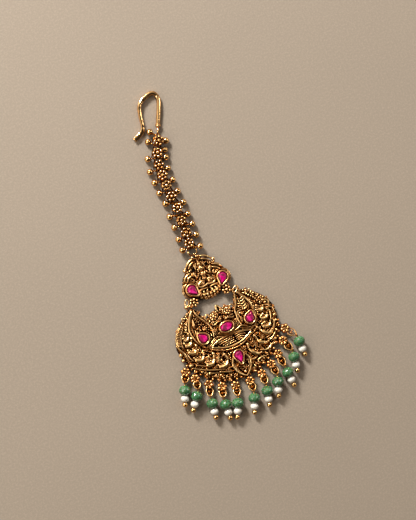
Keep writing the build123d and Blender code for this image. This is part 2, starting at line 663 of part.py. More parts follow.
# ---- bead drops: head pin, green bead and pearl, along one line from the leaf loop's tip
for number, (angle, leaf_turn, reach, swing) in enumerate(DROPS, 1):
    rosette = along((0, FOOT_CENTRE_Y), angle, ROSETTE_ARC_R)
    tip = (*along(rosette, leaf_turn, reach), LEAF_TIP_Z)
    slope = degrees(atan2(LEAF_TIP_Z - GREEN_Z, GREEN_AT))
    lean = Vector(sin(radians(swing)), -cos(radians(swing)), -sin(radians(slope)))
    pin_line = Plane(origin=tip, z_dir=lean)

    with BuildPart() as head_pin:
        eye(tip, (swing + leaf_turn) / 2, PIN_EYE_MID_R, PIN_EYE_R)
        with Locations(pin_line.offset(PIN_EYE_MID_R)):
            Cylinder(PIN_R, END_BALL_AT - PIN_EYE_MID_R, align=(Align.CENTER, Align.CENTER, Align.MIN))
        with Locations(pin_line.offset(END_BALL_AT)):
            Sphere(END_BALL_R)
    head_pin.part.label = f"head_pin_{number:02d}"
    export_step(head_pin.part, f"parts/head_pin_{number:02d}.step")

    with BuildPart() as green_bead:
        with Locations(pin_line.offset(GREEN_AT)):
            Sphere(GREEN_R)
            Cylinder(GREEN_R, 2 * GREEN_HALF, mode=Mode.INTERSECT)
            Cylinder(BORE_R, 4 * GREEN_R, mode=Mode.SUBTRACT)
    green_bead.part.label = f"green_bead_{number:02d}"
    export_step(green_bead.part, f"parts/green_bead_{number:02d}.step")

    with BuildPart() as pearl:
        with Locations(pin_line.offset(PEARL_AT)):
            Cylinder(PEARL_R, 2 * PEARL_HALF)
            fillet(pearl.edges().filter_by(GeomType.CIRCLE), PEARL_ROUND)
            Cylinder(BORE_R, 4 * PEARL_R, mode=Mode.SUBTRACT)
    pearl.part.label = f"pearl_{number:02d}"
    export_step(pearl.part, f"parts/pearl_{number:02d}.step")
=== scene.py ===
import math
import random

import bpy
import numpy as np
from mathutils import Matrix, Vector
from mathutils.geometry import tessellate_polygon


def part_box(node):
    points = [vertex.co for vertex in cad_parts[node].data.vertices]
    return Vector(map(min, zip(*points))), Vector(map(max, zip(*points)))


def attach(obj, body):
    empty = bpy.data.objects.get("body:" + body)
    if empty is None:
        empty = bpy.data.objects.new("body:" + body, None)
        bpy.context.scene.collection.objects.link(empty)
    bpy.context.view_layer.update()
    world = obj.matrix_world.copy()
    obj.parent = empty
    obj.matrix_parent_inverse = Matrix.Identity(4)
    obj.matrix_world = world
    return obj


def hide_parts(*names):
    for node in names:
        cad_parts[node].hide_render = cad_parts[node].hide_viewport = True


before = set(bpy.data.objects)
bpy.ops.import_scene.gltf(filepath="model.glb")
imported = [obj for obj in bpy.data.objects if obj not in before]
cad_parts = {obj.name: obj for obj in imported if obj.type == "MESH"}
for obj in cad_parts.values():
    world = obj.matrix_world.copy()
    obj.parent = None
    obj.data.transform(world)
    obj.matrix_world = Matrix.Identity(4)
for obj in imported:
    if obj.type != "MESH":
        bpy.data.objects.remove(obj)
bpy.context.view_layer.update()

MM = 0.001


# ---- Table and studio
# The jewel lies face up on a plain sheet of warm pale paper, in a dim room with a dark ceiling. Past the
# hook stand a small lamp that gives the glints and a larger one that lights dull surfaces, and a weak lamp
# stands on each side.
LOOK_AT = (3.7, 23.9, 2.0)
CAMERA_LEAN = math.radians(12)
CAMERA_TURN = math.radians(23.2)
CAMERA_AWAY = 500
VIEW_WIDTH = 145.6
KEY_AT = (-0.15, 0.69, 0.45)
KEY_POWER = 11.4
KEY_COLOUR = (1.0, 0.985, 0.96)
ROOM_STOPS = [(0.0, (0.085, 0.062, 0.042, 1)), (0.45, (0.24, 0.183, 0.128, 1)), (0.95, (1.2, 1.06, 0.88, 1))]
ROOM_STRENGTH = 0.8
PAPER_SIZE = 3.0
PAPER_COLOURS = (0.286, 0.235, 0.183, 1), (0.2574, 0.2115, 0.1647, 1)
FLECK_COLOURS = (0.41, 0.34, 0.265, 1), (0.38, 0.315, 0.24, 1)


def fill(node, *values, **named):
    """Fills a node's inputs, by place or by name. Another node's output is linked, any other value is set,
    and None leaves an input as it is. A name that belongs to no input is a setting of the node, which may
    bring inputs in."""
    for key, value in (*enumerate(values), *named.items()):
        socket = node.inputs[key] if isinstance(key, int) else node.inputs.get(key.replace("_", " "))
        if socket is None:
            setattr(node, key, value)
        elif isinstance(value, bpy.types.NodeSocket):
            node.id_data.links.new(value, socket)
        elif value is not None:
            socket.default_value = value


def node_maker(tree):
    """Gives a function that adds a node of a kind to a tree, fills it, and gives back its outputs."""

    def add(kind, *values, **named):
        """Adds one node, such as "Math"; its values are those of fill."""
        node = tree.nodes.new("ShaderNode" + kind)
        fill(node, *values, **named)
        return node.outputs

    return add


def new_material(name):
    """Starts a material, and gives it with its shader and the function that adds nodes to it."""
    material = bpy.data.materials.new(name)
    material.use_nodes = True
    return material, material.node_tree.nodes["Principled BSDF"], node_maker(material.node_tree)


def mix_colours(add, share, first, second):
    """A colour between two, by a share from 0 to 1. The node's five inputs for other kinds of value stay
    unused."""
    return add("Mix", share, *[None] * 5, first, second, data_type="RGBA")[2]


def colour_ramp(add, value, stops):
    """A colour by a value from 0 to 1, blended between stops of position and colour."""
    ramp = add("ValToRGB", value)["Color"]
    elements = ramp.node.color_ramp.elements
    for element, stop in ((elements[0], stops[0]), (elements[1], stops[-1])):
        element.position, element.color = stop
    for position, colour in stops[1:-1]:
        elements.new(position).color = colour
    return ramp


def place_lamp(name, at, size, power, colour, glints=True, shade=True):
    """Stands a softbox facing the middle of the jewel. It gives glints, lights dull surfaces, or does
    both."""
    data = bpy.data.lights.new(name, "AREA")
    data.shape = "RECTANGLE"
    data.size, data.size_y = size
    data.energy = power
    data.color = colour
    lamp = bpy.data.objects.new(name, data)
    lamp.location = Vector(at)
    lamp.rotation_euler = (Vector(LOOK_AT) * MM - lamp.location).to_track_quat("-Z", "Y").to_euler()
    lamp.visible_glossy = glints
    lamp.visible_diffuse = shade
    bpy.context.scene.collection.objects.link(lamp)


away = Vector((-math.sin(CAMERA_LEAN), 0, math.cos(CAMERA_LEAN)))
across = Vector((math.cos(CAMERA_TURN), -math.sin(CAMERA_TURN), 0))
across = (across - away * across.dot(away)).normalized()
turn = np.array([across, away.cross(across), away]).T
camera_data = bpy.data.cameras.new("camera")
camera_data.sensor_fit = "HORIZONTAL"
camera_data.lens = camera_data.sensor_width * CAMERA_AWAY / VIEW_WIDTH
camera_data.clip_start = 0.01
camera = bpy.data.objects.new("camera", camera_data)
rows = [[*turn[row], (LOOK_AT[row] + away[row] * CAMERA_AWAY) * MM] for row in range(3)]
camera.matrix_world = Matrix([*rows, (0, 0, 0, 1)])
bpy.context.scene.collection.objects.link(camera)
bpy.context.scene.camera = camera

place_lamp("key_lamp", KEY_AT, (0.12, 0.12), KEY_POWER, KEY_COLOUR, shade=False)
place_lamp("key_cloth", KEY_AT, (0.19, 0.19), KEY_POWER, KEY_COLOUR, glints=False)
place_lamp("side_lamp", (0.55, 0.05, 0.45), (0.12, 0.45), 1.2, (1.0, 0.95, 0.9))
place_lamp("left_lamp", (-0.6, 0.05, 0.42), (0.12, 0.5), 1.7, (1.0, 0.93, 0.82))

world = bpy.data.worlds.new("studio")
world.use_nodes = True
add = node_maker(world.node_tree)
facing = add("TexCoord")["Generated"]
bright_end = Vector((-0.3, 0.8, 0.45)).normalized()
ceiling = Vector((-0.12, -0.22, 0.96)).normalized()
towards = add("VectorMath", facing, bright_end, operation="DOT_PRODUCT")["Value"]
overhead = add("VectorMath", facing, ceiling, operation="DOT_PRODUCT")["Value"]
dimmed = add("MapRange", Value=overhead, From_Min=0.72, From_Max=0.95, To_Min=1.0, To_Max=0.08)["Result"]
dimmed.node.interpolation_type = "SMOOTHSTEP"
room = add("VectorMath", colour_ramp(add, towards, ROOM_STOPS), operation="SCALE", Scale=dimmed)["Vector"]
fill(world.node_tree.nodes["Background"], Color=room, Strength=ROOM_STRENGTH)
bpy.context.scene.world = world
bpy.context.scene.view_settings.view_transform = "Standard"

paper_mesh = bpy.data.meshes.new("paper")
corners = [(x * PAPER_SIZE / 2, y * PAPER_SIZE / 2, 0) for x, y in ((-1, -1), (1, -1), (1, 1), (-1, 1))]
paper_mesh.from_pydata(corners, [], [(0, 1, 2, 3)])
paper = bpy.data.objects.new("paper", paper_mesh)
bpy.context.scene.collection.objects.link(paper)
paper_material, shader, add = new_material("warm_paper")
place = add("TexCoord")["Object"]
cloud = add("TexNoise", Scale=12.0, Detail=3.0, Vector=place)["Fac"]
grain = add("TexNoise", Scale=900.0, Detail=4.0, Vector=place)["Fac"]
fibre = add("TexNoise", Scale=1500.0, Detail=2.0, Roughness=0.8, Vector=place)["Fac"]
flecks = add("MapRange", Value=fibre, From_Min=0.3, From_Max=0.7, To_Min=-0.25, To_Max=0.45)["Result"]
plain, flecked = (mix_colours(add, cloud, *colours) for colours in (PAPER_COLOURS, FLECK_COLOURS))
tint = mix_colours(add, flecks, plain, flecked)
bump = add("Bump", Strength=0.25, Distance=0.2 * MM, Height=grain)["Normal"]
fill(shader, Base_Color=tint, Roughness=0.75, Normal=bump)
paper.data.materials.append(paper_material)


# ---- Hair hook
# One round wire, bent to a hook and hammered flat over its top and down its tail. A bead-edged collar joins
# it to the eye round the chain's first bar. Gold-plated brass, polished, with small hammer marks on the flat
# part.
HOOK_Z = 0.92
HOOK_COLLAR = (6.85, 74.3, 1.05)
# Stations along the wire: x, y, width across in the plane of the loop, height in Z.
HOOK_STATIONS = [
    (7.0, 74.6, 1.4, 1.4),
    (7.6, 75.8, 1.5, 1.5),
    (8.5, 77.5, 1.6, 1.55),
    (9.6, 79.7, 1.6, 1.6),
    (10.5, 81.9, 1.6, 1.6),
    (10.75, 83.9, 1.55, 1.6),
    (9.9, 85.4, 1.5, 1.65),
    (8.4, 85.65, 1.6, 1.7),
    (6.9, 85.15, 1.65, 1.7),
    (5.4, 84.55, 1.6, 1.7),
    (4.1, 83.65, 1.5, 1.7),
    (3.15, 82.35, 1.4, 1.7),
    (2.55, 80.6, 1.25, 1.7),
    (2.1, 78.6, 1.15, 1.7),
    (1.8, 76.7, 1.15, 1.65),
    (1.3, 75.1, 1.3, 1.45),
    (0.3, 74.0, 1.45, 1.15),
    (-1.2, 73.2, 1.65, 0.9),
    (-3.0, 72.6, 1.7, 0.8),
]
STATION_STEPS = 5
HAMMER_START = 25
HAMMER_RUN = 20
COLLAR_SWELL = [0.62, 0.95, 1.0, 0.78, 0.8, 1.02, 0.95, 0.72]
COLLAR_BEADS = 12
HOOK_EYE_R = 0.68
# The chain's first bar: x, y, height, turn about Z in degrees.
BAR_Z = 1.15
FIRST_BAR = (5.15, 70.7, BAR_Z, -50)
UP = np.array((0, 0, 1))


def unit(rows):
    """One way, or a row of them, at a length of 1."""
    return rows / (np.linalg.norm(rows, axis=-1, keepdims=True) + 1e-12)


def round_turn(count):
    """Angles at even steps round a full turn."""
    return np.linspace(0, 2 * math.pi, count, endpoint=False)


def polar(x, y, z, reach, angle):
    """The point at a distance from another, along a level way."""
    return x + reach * math.cos(angle), y + reach * math.sin(angle), z


def spread(values, count):
    """One value, or several at even steps, as a row of count values."""
    values = np.atleast_1d(values)
    return np.interp(np.linspace(0, 1, count), np.linspace(0, 1, len(values)), values)


def curve(points, steps=6):
    """A smooth line through a few points, as rows of x, y, z."""
    points = np.array(points, float)
    last = len(points) - 1
    rows = []
    for index in range(last):
        first, second = points[index], points[index + 1]
        before = points[index - 1] if index else 2 * first - second
        after = points[index + 2] if index + 1 < last else 2 * second - first
        for step in range(steps):
            t = step / steps
            bend = (2 * before - 5 * first + 4 * second - after) * t * t
            twist = (-before + 3 * first - 3 * second + after) * t**3
            rows.append(0.5 * (2 * first + (second - before) * t + bend + twist))
    rows.append(points[-1])
    return np.array(rows)


def make_piece(name, points, faces, material, nodes, layer=None, smooth=True):
    """Makes a finished piece from points in millimetres, and hides the solids that it stands for. A layer, if
    there is one, gives a value for each point or face, for the material to read."""
    mesh = bpy.data.meshes.new(name)
    mesh.from_pydata((np.array(points) * MM).tolist(), [], faces)
    if smooth:
        mesh.shade_smooth()
    if layer:
        label, domain, values = layer
        mesh.attributes.new(label, "FLOAT", domain).data.foreach_set("value", values)
    mesh.materials.append(material)
    piece = bpy.data.objects.new(name, mesh)
    bpy.context.scene.collection.objects.link(piece)
    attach(piece, "root")
    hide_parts(*nodes)


def band(rows, sides, closed=False):
    """The faces between rings of points that follow one another."""
    faces = []
    for row in range(rows if closed else rows - 1):
        here, there = row * sides, (row + 1) % rows * sides
        for side in range(sides):
            beside = (side + 1) % sides
            faces.append((here + side, here + beside, there + beside, there + side))
    return faces


class Wax:
    """The model that a piece is cast from. Shapes are laid on it one by one, in millimetres, each with its
    relief: 0 in a hollow, where the dark patina stays, up to 1 on a top, where it is rubbed off."""

    def __init__(self, seed):
        """Starts with nothing laid; the seed sets the chance draws of this piece."""
        self.points = []
        self.relief = []
        self.faces = []
        self.count = 0
        self.chance = random.Random(seed)

    def lay(self, points, faces, relief):
        """Lays any shape; relief is one value, or one for each point."""
        points = np.asarray(points, float).reshape(-1, 3)
        self.points.append(points)
        self.relief.append(np.broadcast_to(np.asarray(relief, float).ravel(), (len(points),)))
        self.faces += [tuple(corner + self.count for corner in face) for face in faces]
        self.count += len(points)

    def skin(self, rings, relief, closed=False, caps=True):
        """Joins rings of points, one after the other, to a tube."""
        rows, sides = rings.shape[:2]
        faces = band(rows, sides, closed)
        if caps and not closed:
            faces.append(tuple(range(sides))[::-1])
            faces.append(tuple(range((rows - 1) * sides, rows * sides)))
        self.lay(rings, faces, relief)

    def wire(self, path, radius, sides=8, worn=1.0, closed=False, height=1.0):
        """Lays a round wire along a path. The radius is one number, or several spread along the path."""
        path = np.asarray(path, float)
        ahead = unit(np.roll(path, -1, 0) - np.roll(path, 1, 0) if closed else np.gradient(path, axis=0))
        sideways = np.cross(ahead, UP)
        sideways[np.linalg.norm(sideways, axis=1) < 0.05] = (1, 0, 0)
        sideways = unit(sideways)
        upright = np.cross(sideways, ahead)
        angle = (round_turn(sides) + math.pi / sides)[None, :, None]
        out = np.cos(angle) * sideways[:, None] + height * np.sin(angle) * upright[:, None]
        rings = path[:, None] + spread(radius, len(path))[:, None, None] * out
        self.skin(rings, np.clip(0.5 + 0.62 * out[:, :, 2] / max(height, 0.3), 0, 1) * worn, closed)

    def ball(self, at, radius, sides=10, worn=1.0, height=1.0):
        """Lays a ball, with its height given as a share of its width."""
        tilt = np.linspace(-math.pi / 2, math.pi / 2, max(5, sides // 2) + 1)[1:-1]
        points = [polar(0, 0, math.sin(t), math.cos(t), a) for t in tilt for a in round_turn(sides)]
        points = np.array([*points, (0, 0, -1), (0, 0, 1)]) * (1, 1, height)
        last, foot, head = (len(tilt) - 1) * sides, len(points) - 2, len(points) - 1
        faces = band(len(tilt), sides)
        for side in range(sides):
            beside = (side + 1) % sides
            faces += [(foot, beside, side), (head, last + side, last + beside)]
        relief = np.clip(0.5 + 0.62 * points[:, 2] / height, 0, 1) * worn
        self.lay(points * radius + np.array(at), faces, relief)

    def cast(self, name, material, slot, nodes):
        """Makes the finished piece, smooth all over."""
        relief = ("relief", "POINT", np.concatenate(self.relief).astype(np.float32))
        make_piece(name, np.concatenate(self.points), self.faces, material, nodes, relief)


def patina_group():
    """Worn plating: dark in the hollows and in the corners between shapes, bright where cloth has rubbed
    it."""
    group = bpy.data.node_groups.new("antique_patina", "ShaderNodeTree")
    for way, kind, names in (
        ("INPUT", "NodeSocketColor", ("Bright", "Warm", "Dark")),
        ("INPUT", "NodeSocketFloat", ("Depth", "Polish")),
        ("OUTPUT", "NodeSocketColor", ("Color",)),
        ("OUTPUT", "NodeSocketFloat", ("Roughness", "Metallic", "Coat", "Height")),
    ):
        for name in names:
            group.interface.new_socket(name, in_out=way, socket_type=kind)
    add = node_maker(group)
    given = group.nodes.new("NodeGroupInput").outputs

    def compute(kind, first, second, clamp=False):
        """Reckons with two numbers, each a value or another node's output."""
        return add("Math", first, second, operation=kind, use_clamp=clamp)["Value"]

    relief = add("Attribute", attribute_name="relief")["Fac"]
    open_sky = compute("POWER", add("AmbientOcclusion", samples=6, Distance=0.9 * MM)["AO"], 1.9)
    place = add("TexCoord")["Object"]
    blotch = add("TexNoise", Scale=900, Detail=3, Vector=place)["Fac"]
    speck = add("TexNoise", Scale=5200, Detail=2, Vector=place)["Fac"]
    wander = compute("MULTIPLY", compute("SUBTRACT", blotch, 0.5), 0.9)
    height = compute("ADD", compute("MULTIPLY", relief, open_sky), wander)
    level = compute("SUBTRACT", height, given["Depth"])
    clean = compute("MULTIPLY", level, 3.2, clamp=True)
    rubbed = compute("MULTIPLY", compute("SUBTRACT", level, 0.28), 3.0, clamp=True)
    plating = mix_colours(add, clean, given["Dark"], given["Warm"])
    dull = compute("SUBTRACT", 0.62, compute("MULTIPLY", clean, given["Polish"]))
    fill(
        group.nodes.new("NodeGroupOutput"),
        Color=mix_colours(add, rubbed, plating, given["Bright"]),
        Roughness=compute("ADD", dull, compute("MULTIPLY", speck, 0.1)),
        Metallic=compute("ADD", compute("MULTIPLY", clean, 0.25), 0.75),
        Coat=compute("MULTIPLY", rubbed, 0.75),
        Height=compute("ADD", compute("MULTIPLY", blotch, 0.6), compute("MULTIPLY", speck, 0.4)),
    )
    return group


PATINA = patina_group()


def gold_material(name, bright, warm, dark, depth, polish, bump):
    """Gold plating on brass: three colours, how far up the patina reaches, how well the rest is polished,
    and how high its grain stands, in millimetres."""
    material, shader, add = new_material(name)
    colours = {"Bright": (*bright, 1), "Warm": (*warm, 1), "Dark": (*dark, 1)}
    patina = add("Group", node_tree=PATINA, Depth=depth, Polish=polish, **colours)
    normal = add("Bump", Strength=0.35, Distance=bump * MM, Height=patina["Height"])["Normal"]
    fill(shader, Base_Color=patina["Color"], Roughness=patina["Roughness"], Metallic=patina["Metallic"])
    fill(shader, Coat_Weight=patina["Coat"], Coat_Roughness=0.22, Normal=normal)
    fill(shader, Specular_IOR_Level=0.2, Specular_Tint=(1.0, 0.6, 0.3, 1))
    return material


def on_bar(bar, distance):
    """The point on a bar at a distance from its middle."""
    x, y, z, turn = bar
    return np.array(polar(x, y, z, distance, math.radians(turn)))


def ring_path(at, way, radius, steps=22):
    """Points round a ring whose hole looks along a level direction."""
    aside = np.cross(way, UP)
    return np.array([at + (aside * math.cos(a) + UP * math.sin(a)) * radius for a in round_turn(steps)])


POLISHED_GOLD = gold_material(
    "polished_gold", (0.97, 0.60, 0.25), (0.64, 0.24, 0.04), (0.07, 0.02, 0.003),
    depth=0.1, polish=0.50, bump=0.02,
)
hook = Wax(3)
stations = curve([(x, y, HOOK_Z) for x, y, width, height in HOOK_STATIONS], STATION_STEPS)
sizes = curve([(width, height, 0) for x, y, width, height in HOOK_STATIONS], STATION_STEPS)
sideways = np.cross(unit(np.gradient(stations, axis=0)), UP)
rings, shine = [], []
for index, (middle, aside, (width, height, _)) in enumerate(zip(stations, sideways, sizes)):
    hammered = min(1, max(0, (index - HAMMER_START) / HAMMER_RUN))
    knock = 1 - 0.1 * hammered * hook.chance.random()
    ring = []
    for a in round_turn(16):
        side = math.copysign(abs(math.cos(a)) ** (1 - 0.3 * hammered), math.cos(a)) * width / 2
        rise = math.copysign(abs(math.sin(a)) ** (1 - 0.5 * hammered), math.sin(a)) * height / 2 * knock
        ring.append(middle + aside * side + UP * rise * (1 - 0.05 * hammered * hook.chance.random()))
    rings.append(ring)
    shine += [1 - 0.55 * hammered * hook.chance.random() ** 2 for a in ring]
hook.skin(np.array(rings), shine)
hook.cast("hook_wire", POLISHED_GOLD, "polished_gold", ["hook"])

collar = Wax(4)
foot = np.array(HOOK_COLLAR)
lean = unit(np.array((*HOOK_STATIONS[1][:2], HOOK_COLLAR[2])) - foot)
collar.wire([foot + lean * step for step in np.linspace(-0.62, 0.66, len(COLLAR_SWELL))], COLLAR_SWELL, 18)
for a in round_turn(COLLAR_BEADS):
    edge = np.cross(lean, UP) * math.cos(a) + UP * math.sin(a)
    collar.ball(foot + lean * 0.02 + edge * 0.86, 0.2, 8)
bar_middle = on_bar(FIRST_BAR, 0)
collar.wire([bar_middle - unit(bar_middle - foot) * 0.7, foot - lean * 0.3], [0.36, 0.42], 10)
collar.wire(ring_path(bar_middle, on_bar(FIRST_BAR, 1) - bar_middle, HOOK_EYE_R), 0.24, closed=True)
collar.cast("hook_collar", POLISHED_GOLD, "polished_gold", ["hook"])


# ---- Chain
# Ten links, each a granulated flower soldered over two thin rails, with a bar and two round balls at its
# foot. The eyes at the head of its rails hang on the bar before it. Cast and soldered brass, gold plated,
# lightly aged.
BALL_R = 1.155
BALL_REACH = 3.2
BAR_REACH = 2.3
TWIST_R = 0.13
TWIST_RATE = 3.4
RAIL_R = 0.24
RAIL_REACH = 1.78
EYE_REACH = 0.78
EYE_MID_R = 0.58
FLOWER_RISE = 0.85
FLOWER_RING = 1.34
FLOWER_GRANULE = 0.6
# The bars as the chain lies, from the hook down: x, y, height of the bar, turn about Z in degrees.
BARS = [
    FIRST_BAR,
    (3.35, 67.8, BAR_Z, -48),
    (1.7, 63.8, BAR_Z, -16),
    (0.7, 59.65, BAR_Z, -10),
    (0.6, 55.4, BAR_Z, -13),
    (0.65, 51.25, BAR_Z, -16),
    (1.05, 46.95, BAR_Z, -18),
    (0.7, 42.4, BAR_Z, -13.5),
    (0.7, 38.4, BAR_Z, -10.5),
    (0.4, 34.2, BAR_Z, -7.5),
    (0.0, 30.1, 1.75, -9),
]
# The flowers, one on each link: x, y, and how far it is propped up over what it lies across.
FLOWERS = [
    (4.5, 69.1, 0.65),
    (2.4, 65.4, 0.2),
    (1.3, 61.2, 0.0),
    (0.9, 57.5, 0.0),
    (0.7, 53.6, 0.0),
    (0.8, 49.4, 0.0),
    (1.1, 44.9, 0.0),
    (0.6, 40.3, 0.0),
    (0.4, 35.8, 0.0),
    (0.0, 32.0, 0.0),
]
LAST_EYE = np.array((0.05, 30.65, 0.95))
CHAIN_GOLD = gold_material(
    "chain_gold", (0.98, 0.60, 0.22), (0.64, 0.185, 0.02), (0.02, 0.004, 0.0006),
    depth=0.18, polish=0.56, bump=0.015,
)


def ball_bar(wax, bar):
    """Lays a bar of two twisted wires, with a round ball and its solder seat at each end."""
    middle = on_bar(bar, 0)
    way = on_bar(bar, 1) - middle
    aside = np.cross(way, UP)
    for half_turn in (0, math.pi):
        path = []
        for s in np.linspace(-BAR_REACH, BAR_REACH, 40):
            a = s * TWIST_RATE + half_turn
            path.append(middle + way * s + TWIST_R * (aside * math.cos(a) + UP * math.sin(a)))
        wax.wire(path, 0.22, 6, worn=0.55)
    for side in (-1, 1):
        wax.wire([on_bar(bar, side * 1.98), on_bar(bar, side * 2.2)], [0.34, 0.5], 12, worn=0.6)
        wax.ball(on_bar(bar, side * BALL_REACH), BALL_R, 28)


def granulated_flower(wax, x, y, base, ring, granule, petals, spin=0.0):
    """Lays a flower of granules on a small disc: a ring of them, and one raised in the middle."""
    wax.ball((x, y, base + 0.1), ring * 0.95, 12, worn=0.3, height=0.45)
    for a in spin + round_turn(petals):
        size = granule * wax.chance.uniform(0.88, 1.1)
        wax.ball(polar(x, y, base + granule * 0.9, ring + wax.chance.uniform(-0.07, 0.07), a), size)
    wax.ball((x, y, base + granule * 1.4), granule * 1.12, 12)


def loose_ring(wax, x, y, z, reach, size, worn):
    """Lays eight granules round a flower, at slightly uneven steps."""
    for a in round_turn(8):
        wax.ball(polar(x, y, z, reach, a + wax.chance.uniform(0, 0.4)), size, worn=worn)


top_bar = Wax(10)
ball_bar(top_bar, BARS[0])
top_bar.cast("first_bar", CHAIN_GOLD, "polished_gold", ["top_bar"])
for number, (upper_bar, lower_bar, (x, y, prop)) in enumerate(zip(BARS, BARS[1:], FLOWERS), 1):
    link = Wax(20 + number)
    ball_bar(link, lower_bar)
    way = on_bar(upper_bar, 1) - on_bar(upper_bar, 0)
    axis = on_bar(upper_bar, 0) - on_bar(lower_bar, 0)
    share = np.dot(np.array((x, y, lower_bar[2])) - on_bar(lower_bar, 0), axis) / np.dot(axis, axis)
    crossing = []
    for side in (-1, 1):
        low, high = on_bar(lower_bar, side * RAIL_REACH), on_bar(upper_bar, side * EYE_REACH)
        drop = (low - high) - way * np.dot(low - high, way)
        eye_foot = high + unit(drop) * EYE_MID_R
        bow = (low + eye_foot) / 2 + way * side * 0.12
        link.wire(curve([low, bow, eye_foot], 5), [RAIL_R, 0.26, 0.2], worn=0.25)
        link.wire(ring_path(high, way, EYE_MID_R, 16), 0.17, 6, worn=0.6, closed=True)
        link.ball(low + UP * 0.12, 0.34)
        crossing.append(low + (high - low) * share)
    link.wire(crossing, 0.3, worn=0.4)
    base = BAR_Z + FLOWER_RISE + prop
    link.wire([(x, y, BAR_Z - 0.1), (x, y, base + 0.2)], [0.5, 0.8], 10, worn=0.2)
    petals = 7 if number % 3 else 6
    granulated_flower(link, x, y, base, FLOWER_RING, FLOWER_GRANULE, petals, link.chance.uniform(0, 1))
    loose_ring(link, x, y, base - 0.2, 1.45, 0.4, 0.5)
    if lower_bar is BARS[-1]:
        link.wire(ring_path(LAST_EYE, (1, 0, 0), 0.64), 0.2, closed=True)
    link.cast(f"link_{number:02d}", CHAIN_GOLD, "antique_gold", [f"chain_link_{number:02d}"])


# ---- Jump ring
# Plain round wire bent to a ring, its two ends pressed together. It ties the last link to the upper plaque.
RING_AT = (0.05, 29.05, 0.95)
RING_MID_R = 1.6
RING_OPENING = 8  # degrees
jump_ring = Wax(40)
angle = np.radians(np.linspace(90 + RING_OPENING / 2, 450 - RING_OPENING / 2, 44))
jump_ring.wire([polar(*RING_AT, RING_MID_R, a) for a in angle], 0.3, 12)
jump_ring.cast("jump_ring", CHAIN_GOLD, "antique_gold", ["top_ring"])


# ---- Upper pendant
# A small pierced plaque, cast in one with its bars, bezels and bead row. A seated goddess under a pointed
# crown holds two lotuses, between two pear bezels. Brass, gold plated, then oxidised dark and rubbed bright
# on the high parts.
PLATE = 1.3
BEZEL_TOP = 3.1
SEAT_Z = 1.9
LUG_Z = 0.95
LUG_MID_R = 0.8
PEAR_TIP_R = 0.35
UPPER_STONE = (6.0, 16.6, 148)
UPPER_PEAR = (3.1, 4.2)
UPPER_LUG = (6.3, 13.4)
UPPER_WINDOW = (2.7, 22.6, 0.6)
UPPER_EYE = np.array((0.05, 27.45, 0.95))
UPPER_EDGE = [(0, 26.7), (1.4, 26.4), (4.3, 24.0), (5.5, 22.5), (6.8, 21.5), (7.9, 19.6), (8.3, 16.9)]
UPPER_EDGE += [(7.1, 14.4), (5.3, 13.3), (3.7, 12.1), (1.8, 11.5)]
# What lies on both sides. A strand: flat points, height, radii, sides. A wire: points, radii, sides, wear.
UPPER_STRANDS = [
    # Polished bars: two slope down to a curl, and two run on to the bezel.
    ([(1.3, 26.5), (3.2, 25.75), (4.75, 24.4)], 2.05, [0.3, 0.42, 0.42, 0.3], 12),
    ([(1.5, 25.35), (2.9, 24.75), (4.05, 23.6)], 2.05, [0.3, 0.36, 0.36, 0.3], 12),
    ([(4.7, 24.3), (5.45, 23.9), (5.6, 23.1), (4.95, 22.7), (4.6, 23.2)], 2.0, [0.26, 0.4, 0.36, 0.22], 10),
    ([(4.3, 22.3), (6.0, 21.45), (7.4, 19.9)], 2.05, [0.2, 0.44, 0.44, 0.24], 12),
    ([(3.9, 21.25), (5.4, 20.5), (6.4, 19.4)], 2.05, [0.2, 0.36, 0.36, 0.24], 12),
    # Leaves and curls between the figure and the bezels.
    ([(3.5, 24.0), (3.3, 23.0), (3.8, 22.2)], 1.8, [0.14, 0.22, 0.12]),
    ([(1.75, 24.6), (1.6, 23.5), (1.75, 22.4)], 1.85, [0.14, 0.24, 0.14]),
    ([(4.4, 20.3), (3.7, 19.5), (4.1, 18.7), (4.6, 19.2)], 1.8, [0.14, 0.26, 0.26, 0.14]),
    ([(3.9, 18.2), (3.2, 17.7), (3.0, 18.7)], 1.8, [0.12, 0.24, 0.12]),
    ([(2.6, 16.0), (3.5, 16.8), (3.6, 17.7)], 1.8, [0.24, 0.36, 0.14]),
    # Scroll bars and three petals of the lotus seat.
    ([(0.5, 15.2), (2.4, 15.3), (4.1, 14.9), (4.5, 14.1), (3.6, 13.8)],
     2.15, [0.2, 0.36, 0.42, 0.34, 0.2], 10),
    ([(0.3, 13.7), (1.7, 13.4), (3.2, 13.9)], 2.0, [0.24, 0.34, 0.2], 10),
    ([(0.6, 14.7), (1.0, 14.2), (0.6, 13.7)], 2.15, [0.16, 0.36, 0.16]),
    ([(1.9, 14.7), (2.3, 14.2), (1.9, 13.8)], 2.15, [0.16, 0.36, 0.16]),
    ([(3.2, 14.7), (3.6, 14.2), (3.2, 13.9)], 2.15, [0.16, 0.36, 0.16]),
    # The goddess: hair beside the face, sash and crossed legs.
    ([(1.0, 23.0), (1.35, 23.6), (1.1, 24.3), (0.7, 24.5)], 1.95, [0.2, 0.3, 0.26, 0.16]),
    ([(1.15, 19.6), (1.75, 18.8), (1.6, 18.0)], 1.95, [0.3, 0.28, 0.2]),
    (
        [(0.3, 17.75), (1.6, 18.0), (3.2, 16.95), (2.4, 16.1), (0.8, 16.2), (-0.4, 16.6)],
        [2.05, 2.15, 2.15, 2.25, 2.25, 2.15],
        [0.3, 0.46, 0.46, 0.38, 0.34, 0.26],
        14,
    ),
]
